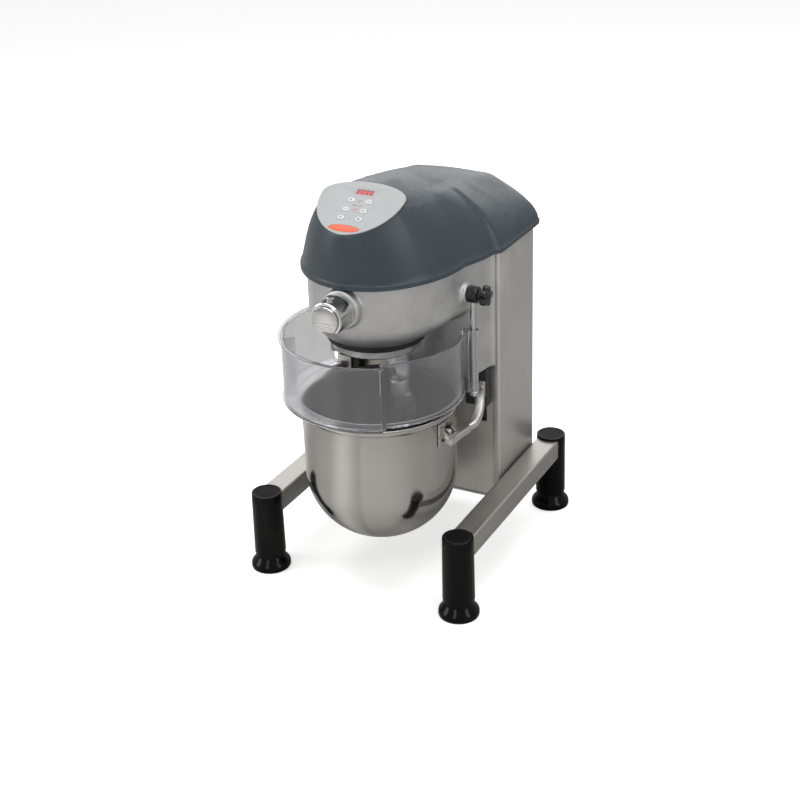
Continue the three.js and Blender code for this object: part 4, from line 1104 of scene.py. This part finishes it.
sheet.data.materials.clear()
sheet.data.materials.append(membrane_grey)
grey_marks = [printed_bar(-3.6, 75, 3.6, 75.7), printed_bar(-3.6, 77.4, 3.6, 78.1),
              printed_bar(-2.2, 72.8, 2.2, 73.4), printed_bar(-9, 64.6, 9, 65.2),
              printed_bar(-3.2, 37.6, 3.2, 38.1)]
red_marks = [printed_bar(-9, 66.8, -1.0, 67.5), printed_bar(1.2, 66.8, 9, 67.5),
             printed_bar(-4.2, 56.8, -0.9, 58.6), printed_bar(0.6, 56.8, 4.4, 58.6),
             printed_bar(-4.2, 53.6, 4.2, 54.4)]
sheet = with_print(sheet, grey_marks, print_grey)
sheet = with_print(sheet, red_marks, print_red)
tipped(sheet)
settle(sheet, "panel_sheet", None, "mixer_frame", ["control_panel"], 25)

# %% [markdown]
# ## Display and badge
# The display is a dark red pane behind the sheet with three rows of faint segments. The badge is
# an orange oval, slightly domed and left blank.

# %% Display, badge
def domed_oval(x, y, half_x, half_y, low, high, dome_rise, count=48):
    shrink = ((1.0, low), (1.0, high - 0.5), (0.985, high - 0.2), (0.95, high), (0.8, high + dome_rise * 0.4),
              (0.5, high + dome_rise * 0.8), (0.2, high + dome_rise * 0.98))
    rings = [flat_ring(oval_ring(x, y, half_x * k, half_y * k, count), z) for k, z in shrink]
    return wrapped(rings, close_ends=True)


pane = printed_bar(-14, 90, 14, 100, z=-4.0, thick=3.75)
pane.data.materials.clear()
pane.data.materials.append(display_glass)
segment_red, segment_tree, segment_shader, segment_spot = start_finish("display_segment")
glow = add(segment_tree, "ShaderNodeTexNoise", {"Vector": segment_spot, "Scale": 300.0})
segment_tree.links.new(blend_colour(segment_tree, glow.outputs["Fac"], (0.75, 0.06, 0.07),
                                    (0.9, 0.14, 0.13)), segment_shader.inputs["Base Color"])
segment_tree.links.new(blend_colour(segment_tree, glow.outputs["Fac"], (0.7, 0.04, 0.05),
                                    (0.85, 0.08, 0.08)), segment_shader.inputs["Emission Color"])
segment_shader.inputs["Emission Strength"].default_value = 0.35
segment_shader.inputs["Roughness"].default_value = 0.3
segments = []
for k in range(3):
    x = -7.6 + 7.6 * k
    for y in (92.0, 94.8, 97.6):
        segments.append(printed_bar(x - 2.0, y - 0.35, x + 2.0, y + 0.35, z=-0.26, thick=0.1))
    for dx in (-2.5, 1.9):
        for y in (92.6, 95.4):
            segments.append(printed_bar(x + dx, y, x + dx + 0.6, y + 1.8, z=-0.26, thick=0.1))
pane = with_print(pane, segments, segment_red)
tipped(pane)
settle(pane, "display_pane", None, "mixer_frame", ["display_window"])
badge = tipped(domed_oval(0, 17, 26, 7, -1.4, 0.15, 0.6, 72))
settle(badge, "badge_oval", badge_orange, "mixer_frame", ["panel_badge"], 30)

# %% [markdown]
# ## Six keys
# A key is a small domed oval with a printed sign. The signs are plain ones that any machine
# could carry: plus, minus, a triangle for start, a square for stop, a bar and an arrow head.

# %% Keys and signs
def wedge(points, z, thick=0.12):
    return wrapped([flat_ring(points, z), flat_ring(points, z + thick)], close_ends=True)


def sign(kind, x, y, z):
    if kind == "plus":
        return [printed_bar(x - 2.4, y - 0.45, x + 2.4, y + 0.45, z),
                printed_bar(x - 0.45, y - 2.4, x + 0.45, y + 2.4, z + 0.01)]
    if kind == "minus":
        return [printed_bar(x - 2.4, y - 0.5, x + 2.4, y + 0.5, z)]
    if kind == "start":
        return [wedge([(x - 1.6, y - 2.2), (x + 2.4, y), (x - 1.6, y + 2.2)], z)]
    if kind == "stop":
        return [printed_bar(x - 1.8, y - 1.8, x + 1.8, y + 1.8, z)]
    if kind == "arrow":
        return [wedge([(x - 2.2, y - 1.4), (x + 2.2, y - 1.4), (x, y + 2.2)], z)]
    return [printed_bar(x - 2.2, y + dy - 0.3, x + 2.2, y + dy + 0.3, z) for dy in (-1.5, 0, 1.5)]


SIGNS = ("start", "stop", "minus", "plus", "arrow", "bars")
for number, ((x, y), kind) in enumerate(zip(KEY_PLACES, SIGNS), start=1):
    key = domed_oval(x, y, 6.3, 4.8, -5.5, 0.75, 0.5)
    key.data.materials.clear()
    key.data.materials.append(key_white)
    key = with_print(key, sign(kind, x, y, 1.13), print_grey)
    tipped(key)
    settle(key, f"key_{number}", None, f"key_{number}", [f"button_{number}"], 30)

# %% [markdown]
# ## Head casting
# The head is cast aluminium: walls that follow the hood's rim, an underside that flows down to a
# round collar, and a deep block at the back that is bolted to the column. The separate forms are
# laid into each other, grown together on a fine grid of voxels and then smoothed, which gives
# the soft inner corners that a mould leaves. The bores are cut afterwards and stay sharp.

# %% Forms of the casting
COLLAR_Z, COLLAR_R, HUB_Z = 431, 80, 503
CASTING_STEPS = 160


def cut_rim(inset, front, rear, count):
    half = head_rim(inset, HOOD_REAR, 600)[:301]
    kept = [(x, y) for x, y in half if front < y < rear and x > 0]
    start = [(0, half[0][1])] if front < half[0][1] else [(0, front), (kept[0][0], front)]
    right_half = evenly(start + kept + [(kept[-1][0], rear), (0, rear)], count // 2 + 1)
    return right_half + [(-x, y) for x, y in reversed(right_half[1:-1])]


wall_ring = cut_rim(8, -400, 18.7, CASTING_STEPS)


def chin_ring(t):
    z = mix(COLLAR_Z, 466, t)
    swing = math.sin(t * math.pi / 2) ** 0.8
    ring = []
    for x, y in wall_ring:
        a = math.atan2(y - AXIS_Y, x)
        cx, cy = COLLAR_R * math.cos(a), AXIS_Y + COLLAR_R * math.sin(a)
        ring.append(place(mix(cx, x, swing), mix(cy, y, swing), z))
    return ring


forms = [chin_ring(t / 14) for t in range(15)]
forms += [[place(x, y, z) for x, y in wall_ring] for z in (480, 495, 515, 534)]
body = wrapped(forms, close_ends=True)
pedestal_ring = cut_rim(8, -40, 18.7, 120)
pedestal = wrapped([[place(x, y, z) for x, y in pedestal_ring] for z in (339, 400, 470, 533)],
                   close_ends=True)
collar = turned([(0, 431), (80, 431), (80, 444), (76, 446), (0, 446)], place(0, AXIS_Y, 0))
boss = turned([(0, -226), (30.4, -226), (31, -225.4), (31.6, -190), (34, -150), (0, -150)],
              place(0, 0, HUB_Z), "Y")
pad = turned([(0, 115), (15.5, 115), (15, 132), (0, 132)], place(0, -50, 487), "X")
tongue = block((-110, 10, 455), (110, 27.6, 520))
for form in (body, pedestal, collar, boss, pad, tongue):
    face_outwards(form)

# %% Cut round the carrier, then grow together
room = turned([(0, 300), (85, 300), (85, 430.5), (0, 430.5)], place(0, AXIS_Y, 0))
face_outwards(room)
combine(pedestal, room, "DIFFERENCE")
casting = join(body, pedestal, collar, boss, pad, tongue)
apply_modifier(casting, "REMESH", mode="VOXEL", voxel_size=2.1 * MM, use_smooth_shade=True)
apply_modifier(casting, "SMOOTH", factor=0.5, iterations=7)
print("casting faces", len(casting.data.polygons))

# %% Bores and hollow
CUTS = [
    turned([(0, 425), (67.4, 425), (67.4, 452), (21.3, 452), (21.3, 560), (0, 560)],
           place(0, AXIS_Y, 0)),
    turned([(0, -240), (18, -240), (18, -140), (0, -140)], place(0, 0, HUB_Z), "Y"),
    turned([(0, 100), (4.3, 100), (4.3, 160), (0, 160)], place(0, -50, 487), "X", 32),
    wrapped([[place(x * 0.94, mix(y, AXIS_Y + 70, 0.05), z) for x, y in wall_ring] for z in (472, 560)],
            close_ends=True),
    block((-122, -20, 320), (122, 11, 560)),
]
for cut in CUTS:
    face_outwards(cut)
    combine(casting, cut, "DIFFERENCE")
settle(casting, "head_body", head_alloy, "mixer_frame", ["head_casting"], 35)
print("casting with bores", len(casting.data.polygons))

# %% [markdown]
# ## Accessory hub
# The hub is a polished barrel with a rounded front rim and a flat below, with a clamp screw on
# top. A cover plate with the same flat plugs its bore. All of it is turned and then cut flat.

# %% Hub barrel, socket, cover and screw
HUB_FLAT = 485.5
hub = turned([(14, -226.4), (26.4, -226.4), (27, -227.4), (27, -231), (26.2, -231.8), (26.2, -233),
              (27, -233.8), (27, -264), (26.8, -266.2), (26.2, -267.5), (25.4, -268), (22.8, -268),
              (22.3, -267.6), (22.3, -266), (14.4, -266), (14, -265.6), (14, -226.4)],
             place(0, 0, HUB_Z), "Y", 112)
face_outwards(hub)
combine(hub, block((-40, -280, 440), (40, -220, HUB_FLAT)), "DIFFERENCE")
soften(hub, 0.8, segments=3, angle=50)
settle(hub, "hub_barrel", hub_alloy, "mixer_frame", ["hub_housing"], 30)
cover = turned([(0, -272), (20.6, -272), (21.6, -271.6), (22, -270.8), (22, -266.6), (21.6, -266.3),
                (13.6, -266.3), (13.6, -245.2), (12.6, -244), (0, -244)], place(0, 0, HUB_Z), "Y", 96)
face_outwards(cover)
combine(cover, block((-30, -274, 440), (30, -266.2, HUB_FLAT + 1)), "DIFFERENCE")
for low in (488, 491, 494):
    combine(cover, block((-14, -273, low), (14, -271.4, low + 0.9)), "DIFFERENCE")
combine(cover, block((-24, -273, 498.5), (24, -271.2, 499.3)), "DIFFERENCE")
settle(cover, "hub_plate", hub_alloy, "hub_plug", ["hub_cover"], 30)
screw = turned([(0, 520), (3.9, 520), (3.9, 530.3), (6.2, 530.3), (6.5, 530.8), (6.5, 533.6),
                (5.6, 534.8), (3, 535.2), (0, 535.2)], place(0, -250, 0), "Z", 48)
face_outwards(screw)
combine(screw, block((-9, -250.9, 533.6), (9, -249.1, 538)), "DIFFERENCE")
settle(screw, "hub_clamp_screw", turned_steel, "mixer_frame", ["hub_screw"], 28)

# %% [markdown]
# ## Seal, carrier and tool shaft
# Below the collar sits a black rubber seal, then the polished planet carrier with its step, and
# off its middle the tool shaft with the notches that take the pin of the tool.

# %% Turned parts of the drive
seal_low, seal_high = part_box("seal_ring")
seal_r = (seal_high.x - seal_low.x) / 2 / MM
z0, z1 = seal_low.z / MM, seal_high.z / MM
print("seal", round(seal_r, 2), round(z0, 2), round(z1, 2))
seal_in = 74.2
seal = turned([(seal_in, z0), (seal_r - 1.4, z0), (seal_r - 0.4, z0 + 0.5), (seal_r, z0 + 1.6),
               (seal_r, z1 - 1.2), (seal_r - 0.8, z1), (seal_in, z1), (seal_in, z0)],
              place(0, AXIS_Y, 0), "Z", 128)
settle(seal, "rubber_seal", seal_rubber, "mixer_frame", ["seal_ring"], 30)
carrier = turned([(10.3, 404.6), (11, 404), (60, 404), (63.5, 404.3), (69, 407), (70.2, 408.4), (70.5, 410),
                  (70.5, 417.6), (71, 418.6), (73, 419.4), (73.5, 420.4), (73.5, 428), (10.3, 428),
                  (10.3, 404.6)], place(0, AXIS_Y, 0), "Z", 128)
OFFSET = 37.5
shaft_room = turned([(0, 396), (16.3, 396), (16.3, 440), (0, 440)], place(OFFSET, AXIS_Y, 0))
face_outwards(carrier)
face_outwards(shaft_room)
combine(carrier, shaft_room, "DIFFERENCE")
settle(carrier, "carrier_plate", turned_steel, "planet_drive", ["planet_carrier"], 28)
shaft = turned([(10.3, 352), (15.4, 352), (16.2, 352.6), (17.6, 354.6), (18, 356), (18, 394.6),
                (17.4, 397), (16.2, 399.6), (16, 401), (16, 432), (7, 432), (7, 452), (0, 452),
                (0, 394), (10.3, 394), (10.3, 352)], place(OFFSET, AXIS_Y, 0), "Z", 96)
face_outwards(shaft)
combine(shaft, block((OFFSET - 4.3, AXIS_Y - 25, 345), (OFFSET + 4.3, AXIS_Y + 25, 368)), "DIFFERENCE")
soften(shaft, 0.3, segments=2, angle=40)
settle(shaft, "tool_shaft", turned_steel, "tool_spindle", ["planet_shaft"], 30)

# %% [markdown]
# ## A bent bar
# The tool and the cradle arms are bars that bend through space. A rounded section is carried
# along a smooth line and laid on one ring after the other.

# %% Carry a section along a line
def smooth_line(points, per_span):
    ends = [points[0] * 2 - points[1]] + points + [points[-1] * 2 - points[-2]]
    line = []
    for p0, p1, p2, p3 in zip(ends, ends[1:], ends[2:], ends[3:]):
        for i in range(per_span):
            t = i / per_span
            line.append(0.5 * (2 * p1 + (p2 - p0) * t + (2 * p0 - 5 * p1 + 4 * p2 - p3) * t ** 2
                               + (3 * p1 - p0 - 3 * p2 + p3) * t ** 3))
    return line + [points[-1]]


def bent_bar(points, width, height, square=0.5, per_span=6, around=32, lead=Vector((0, 0, 1)), ends=None):
    line = smooth_line([place(*p) for p in points], per_span)
    rings = []
    for k, centre in enumerate(line):
        ahead = (line[min(k + 1, len(line) - 1)] - line[max(k - 1, 0)]).normalized()
        side = ahead.cross(lead).normalized()
        over = side.cross(ahead)
        t = k / (len(line) - 1)
        swell = ends(t) if ends else 1.0
        ring = []
        for i in range(around):
            a = math.tau * i / around
            u = math.copysign(abs(math.cos(a)) ** square, math.cos(a)) * width / 2 * swell
            v = math.copysign(abs(math.sin(a)) ** square, math.sin(a)) * height / 2 * swell
            ring.append(centre + (side * u + over * v) * MM)
        rings.append(ring)
    return wrapped(rings, close_ends=True)


# %% [markdown]
# ## Dough hook
# The tool is a cast spiral on a short stem with a collar, and a cross pin that locks in the
# notches of the shaft. Its bar is thickest in the middle and thins towards the tip.

# %% Hook
turn_points = []
for i in range(27):
    t = i / 26
    a = 0.6 + t * 4.3
    swell = 34 * math.sin(math.pi * min(1, 0.12 + t * 0.86))
    turn_points.append((OFFSET + swell * math.cos(a), AXIS_Y + swell * math.sin(a), 318 - t * 220))
blade = bent_bar(turn_points, 17, 11, square=0.75, per_span=3, around=28,
                 ends=lambda t: 1.0 - 0.45 * ease(0.8, 1.0, t))
stem = turned([(0, 300), (9.8, 300), (9.8, 325), (14, 326), (15, 327.2), (15, 349.6), (14, 351),
               (9.8, 351), (9.8, 390), (8.4, 392), (0, 392)], place(OFFSET, AXIS_Y, 0), "Z", 64)
knee_x = turn_points[0][0] * 0.5 + OFFSET * 0.5
knee_y = (turn_points[0][1] - AXIS_Y) * 0.5
knee = turned([(0, 300), (11.5, 300.6), (13, 303), (13, 326), (11, 328), (0, 328)],
              place(knee_x, AXIS_Y + knee_y, 0), "Z", 48)
pin = turned([(0, -17), (3.4, -17), (3.8, -16.4), (3.8, 16.4), (3.4, 17), (0, 17)],
             place(OFFSET, AXIS_Y, 360), "Y", 32)
hook = join(blade, stem, knee, pin)
settle(hook, "hook", tool_alloy, "tool_spindle", ["dough_hook"], 35)
print("hook faces", len(hook.data.polygons))

# %% [markdown]
# ## Bowl
# The bowl is spun from stainless sheet: a round bottom, straight walls and a rim rolled outwards.
# Two folded ears are welded to its sides and carry it on the pins of the cradle.

# %% Bowl shell
BOWL_R, BULGE, BOTTOM, WALL = 124.5, 192, 72, 1.6
outside = []
for i in range(25):
    a = i / 24 * math.pi / 2
    outside.append((BOWL_R * math.sin(a), BULGE - (BULGE - BOTTOM) * math.cos(a)))
outside[0] = (0, BOTTOM)
rolled = [(BOWL_R + 0.6, 260), (BOWL_R + 1, 300), (BOWL_R + 2.2, 302), (BOWL_R + 3.5, 303.4),
          (BOWL_R + 4, 305.4), (BOWL_R + 4, 308.4), (BOWL_R + 3.4, 310.2), (BOWL_R + 2.2, 311),
          (BOWL_R + 0.8, 310.8), (BOWL_R - 0.4, 309.4), (BOWL_R - 0.9, 306), (BOWL_R - 1.1, 300),
          (BOWL_R - 1.2, 260)]
inside = []
for i in range(24, -1, -1):
    a = i / 24 * math.pi / 2
    inside.append(((BOWL_R - WALL) * math.sin(a), BULGE - (BULGE - BOTTOM - WALL) * math.cos(a)))
inside[-1] = (0, BOTTOM + WALL)
bowl_shell = turned(outside + rolled + inside, place(0, AXIS_Y, 0), "Z", 160)
face_outwards(bowl_shell)

# %% Ears
EAR_TURN = math.radians(-9)


def ear(mirror):
    r = BOWL_R
    plate_piece = block((r - 0.6, AXIS_Y - 14, 262), (r + 3, AXIS_Y + 14, 300), edge=0.9, segments=3)
    slot = block((r + 0.6, AXIS_Y - 2, 264), (r + 5, AXIS_Y + 2, 277))
    combine(plate_piece, slot, "DIFFERENCE")
    shelf = block((r + 1, AXIS_Y - 12, 276.4), (r + 19, AXIS_Y + 12, 283.4), edge=1.2, segments=3)
    hole = turned([(0, 270), (5.3, 270), (5.3, 290), (0, 290)], place(r + 10.5, AXIS_Y, 0), "Z", 40)
    face_outwards(hole)
    combine(shelf, hole, "DIFFERENCE")
    ribs = [block((r + 1, AXIS_Y + y, 281), (r + 16, AXIS_Y + y + 3, 296.6), edge=1.0, segments=3)
            for y in (-12, 9)]
    for rib in ribs:
        slope = block((r + 8, AXIS_Y - 20, 290), (r + 40, AXIS_Y + 20, 320))
        slope.data.transform(Matrix.Translation(place(r + 8, AXIS_Y, 290))
                             @ Matrix.Rotation(math.radians(35), 4, "Y")
                             @ Matrix.Translation(-place(r + 8, AXIS_Y, 290)))
        face_outwards(slope)
        combine(rib, slope, "DIFFERENCE")
    bead = bent_bar([(r + 1.4, AXIS_Y - 14.6, 262), (r + 1.2, AXIS_Y - 14.8, 280),
                     (r + 1.4, AXIS_Y - 14.6, 299)], 2.4, 2.4, square=1.0, around=12)
    made = join(plate_piece, shelf, *ribs, bead)
    centre = place(0, AXIS_Y, 0)
    made.data.transform(Matrix.Translation(centre) @ Matrix.Rotation(EAR_TURN, 4, "Z")
                        @ Matrix.Translation(-centre))
    if mirror:
        made.data.transform(Matrix.Scale(-1, 4, (1, 0, 0)))
        face_outwards(made)
    return made


bowl = join(bowl_shell, ear(False), ear(True))
settle(bowl, "spun_bowl", bowl_steel, "mixing_bowl", ["bowl"], 32)
print("bowl faces", len(bowl.data.polygons))

# %% [markdown]
# ## Cradle
# Two pale cast arms leave the black slide blocks, bow outwards and down, and end in square
# fingers with a pin for the bowl's ears. The yoke behind the column sheet joins the blocks.

# %% Arms
def arm(mirror):
    bend = bent_bar([(124, -2.5, 302), (134, -20, 302), (144, -40, 296), (147, -54, 284),
                     (145, -66, 273), (140, -80, 270)], 16, 15, square=0.55, per_span=8,
                    ends=lambda t: 1.0 - 0.2 * ease(0.75, 1.0, t))
    tip_x = 135 * math.cos(EAR_TURN)
    tip_y = AXIS_Y + 135 * math.sin(EAR_TURN)
    finger = block((tip_x + 4.5 - 7, tip_y - 7, 264), (tip_x + 4.5 + 7, tip_y + 52, 276), edge=2.4,
                   segments=4)
    middle = place(tip_x + 4.5, tip_y + 21, 270)
    finger.data.transform(Matrix.Translation(middle) @ Matrix.Rotation(-0.132, 4, "Z")
                          @ Matrix.Translation(-middle))
    peg = turned([(0, 270), (4.7, 270), (4.7, 288.6), (3.6, 290), (0, 290)],
                 place(tip_x, tip_y, 0), "Z", 32)
    root = block((112, -4, 288), (136, 1.7, 316), edge=1.6, segments=3)
    made = join(bend, finger, peg, root)
    apply_modifier(made, "REMESH", mode="VOXEL", voxel_size=0.8 * MM, use_smooth_shade=True)
    apply_modifier(made, "SMOOTH", factor=0.5, iterations=5)
    if mirror:
        made.data.transform(Matrix.Scale(-1, 4, (1, 0, 0)))
        face_outwards(made)
    return made


right_arm = settle(arm(False), "arm_right", arm_alloy, "cradle", ["cradle_arm_right"], 40)
settle(arm(True), "arm_left", arm_alloy, "cradle", ["cradle_arm_left"], 40)
print("arm faces", len(right_arm.data.polygons))

# %% Yoke and blocks
cross = block((-130, 25.8, 284), (130, 41.5, 320), edge=1.5)
pieces_of_yoke = [cross]
for s in (-1, 1):
    a, b = sorted((s * 99, s * 138))
    pieces_of_yoke.append(block((a, 2, 268), (b, 18.7, 336), edge=2.2, segments=4))
    a, b = sorted((s * 107, s * 128))
    pieces_of_yoke.append(block((a, 10, 284), (b, 27.5, 320), edge=0.8, segments=2))
    pieces_of_yoke.append(turned([(5.8, 276), (7.2, 276), (7.7, 276.6), (7.7, 327.4), (7.2, 328),
                                  (5.8, 328), (5.8, 276)], place(s * 75, 34, 0), "Z", 48))
for s in (-1, 1):
    rod_hole = turned([(0, 270), (5.8, 270), (5.8, 340), (0, 340)], place(s * 75, 34, 0), "Z", 48)
    face_outwards(rod_hole)
    combine(cross, rod_hole, "DIFFERENCE")
yoke = join(*pieces_of_yoke)
settle(yoke, "yoke_and_blocks", cradle_black, "cradle", ["cradle_yoke"], 30)
for side, x in (("left", -75), ("right", 75)):
    rod_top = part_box(f"slide_rod_{side}")[1].z / MM
    rod_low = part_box(f"slide_rod_{side}")[0].z / MM
    slide = turned([(0, rod_low), (4.9, rod_low), (5.5, rod_low + 0.6), (5.5, rod_top - 0.6),
                    (4.9, rod_top), (0, rod_top)], place(x, 34, 0), "Z", 64)
    settle(slide, f"rod_{side}", rod_steel, "mixer_frame", [f"slide_rod_{side}"])
print("cradle ready")

# %% [markdown]
# ## Bowl guard
# The guard is one clear moulding: a wall with a thick rim on top and a ledge below. Its section is
# drawn once, and laid round the plan of the guard. The plan is a wide arc in front, a step in,
# and a narrower arc that ends at the hinge.

# %% Guard wall
# two radii of the plan, then angles: the step in, the end at the hinge and the far end
G_WIDE, G_NARROW, G_STEP, G_END, G_FAR = 152, 137, 30, 114, 122
HINGE_X, HINGE_Y = 139, -50


def plan_point(radius, degrees):
    a = math.radians(degrees)
    return radius * math.sin(a), AXIS_Y - radius * math.cos(a)


def guard_section(ledge):
    return [(0, 326), (0, 422.4), (0.8, 423.6), (4.2, 424), (5, 424.8), (5, 427.2), (4.2, 428),
            (-2.2, 428), (-3, 427.2), (-3, 327.6), (-4.2, 326.2), (-ledge + 0.6, 326), (-ledge, 325.4),
            (-ledge, 322.6), (-ledge + 0.6, 322), (1.4, 322), (2, 322.6), (2, 325.4), (1.2, 326)]


rings = []
angles = [mix(-G_FAR, G_STEP - 0.6, i / 110) for i in range(111)]
angles += [mix(G_STEP + 0.4, G_STEP + 2.2, i / 4) for i in range(5)]
angles += [mix(G_STEP + 3, G_END, i / 60) for i in range(61)]
for degrees in angles:
    step_in = ease(G_STEP - 0.4, G_STEP + 2.0, degrees)
    radius, ledge = mix(G_WIDE, G_NARROW, step_in), mix(24, 9, step_in)
    rings.append([place(*plan_point(radius + out, degrees), z) for out, z in guard_section(ledge)])
guard = wrapped(rings, close_ends=True)
face_outwards(guard)
print("guard wall", len(guard.data.polygons))

# %% Hinge tube, web and ribs
def upright_web(degrees, inner, outer, thick, low, high):
    web = block((-thick / 2, -(outer - inner) / 2, low), (thick / 2, (outer - inner) / 2, high), edge=0.5,
                segments=2)
    x, y = plan_point((inner + outer) / 2, degrees)
    web.data.transform(Matrix.Translation(place(x, y, 0)) @ Matrix.Rotation(math.radians(degrees), 4, "Z")
                       @ Matrix.Translation(-place(0, 0, 0)))
    return web


tube = turned([(5.3, 322), (8.1, 322), (8.5, 322.5), (8.5, 336), (7.9, 337), (7.9, 413), (8.5, 414),
               (8.5, 427.5), (8.1, 428), (5.3, 428), (5.3, 322)], place(HINGE_X, HINGE_Y, 0), "Z", 64)
web_x, web_y = plan_point(G_NARROW - 1.5, G_END - 2)
web = block((web_x - 1.5, min(web_y, HINGE_Y) - 1.5, 322), (HINGE_X - 4, max(web_y, HINGE_Y) - 2, 428))
parts = [tube, web, upright_web(G_STEP + 1, G_NARROW - 8, G_WIDE - 1, 5, 324, 425),
         upright_web(-56, G_WIDE - 22, G_WIDE - 1, 2.5, 324, 425)]
hinge_bore = turned([(0, 318), (5.3, 318), (5.3, 432), (0, 432)], place(HINGE_X, HINGE_Y, 0), "Z", 64)
for part in parts + [hinge_bore]:
    face_outwards(part)
for part in parts:
    combine(guard, part, "UNION")
combine(guard, hinge_bore, "DIFFERENCE")
settle(guard, "clear_guard", clear_plastic, "guard", ["bowl_guard"], 30)
print("guard", len(guard.data.polygons))

# %% [markdown]
# ## Rod, boss and star knob
# The guard hangs on a ground steel rod. Its upper end sits in a black boss on the head, and a
# star knob clamps it there. The star is one ring of lobes, repeated at several depths.

# %% Rod and boss
rod = turned([(0, 314), (6.9, 314), (7.5, 314.6), (7.5, 320.6), (6.9, 321.6), (5, 321.7), (5, 488.4),
              (4.4, 489), (0, 489)], place(HINGE_X, HINGE_Y, 0), "Z", 64)
settle(rod, "hinge_rod", rod_steel, "mixer_frame", ["guard_rod"], 28)
boss_piece = turned([(0, 132.3), (13, 132.3), (13.5, 132.9), (13.5, 138), (13.1, 138.4), (13.1, 139.4),
                     (13.5, 139.8), (13.5, 147.4), (12.4, 148.7), (11, 149), (0, 149)],
                    place(0, HINGE_Y, 487), "X", 80)
rod_room = turned([(0, 450), (5.3, 450), (5.3, 489.5), (0, 489.5)], place(HINGE_X, HINGE_Y, 0), "Z", 48)
stud_room = turned([(0, 142), (3.3, 142), (3.3, 155), (0, 155)], place(0, HINGE_Y, 487), "X", 32)
face_outwards(boss_piece)
for room_piece in (rod_room, stud_room):
    face_outwards(room_piece)
    combine(boss_piece, room_piece, "DIFFERENCE")
settle(boss_piece, "boss", knob_black, "mixer_frame", ["knob_boss"], 28)

# %% Star knob
def star_ring(depth, grow, lobes=5, count=120):
    ring = []
    for i in range(count):
        a = math.tau * i / count
        r = mix(10.5, 17, ((1 + math.cos(lobes * a)) / 2) ** 0.55) + grow
        ring.append(place(149.3 + depth, HINGE_Y + r * math.cos(a), 487 + r * math.sin(a)))
    return ring


star = wrapped([star_ring(d, g) for d, g in ((6.0, -2.6), (6.3, -1.2), (7.2, -0.3), (8.6, 0), (14.4, 0),
                                             (15.8, -0.3), (16.7, -1.2), (17.0, -2.6))], close_ends=True)
hub_of_knob = turned([(0, 0), (7.4, 0), (8, 0.6), (8, 6.6), (0, 6.6)], place(149.3, HINGE_Y, 487), "X", 48)
button_of_knob = turned([(0, 16), (7.4, 16), (7.2, 17.4), (5.8, 18.6), (3, 19), (0, 19)],
                        place(149.3, HINGE_Y, 487), "X", 48)
stud = turned([(0, -4.5), (2.6, -4.5), (3, -4), (3, 1), (0, 1)], place(149.3, HINGE_Y, 487), "X", 24)
knob = join(star, hub_of_knob, button_of_knob, stud)
settle(knob, "star_grip", knob_black, "guard_knob", ["star_knob"], 35)
print("knob faces", len(knob.data.polygons))
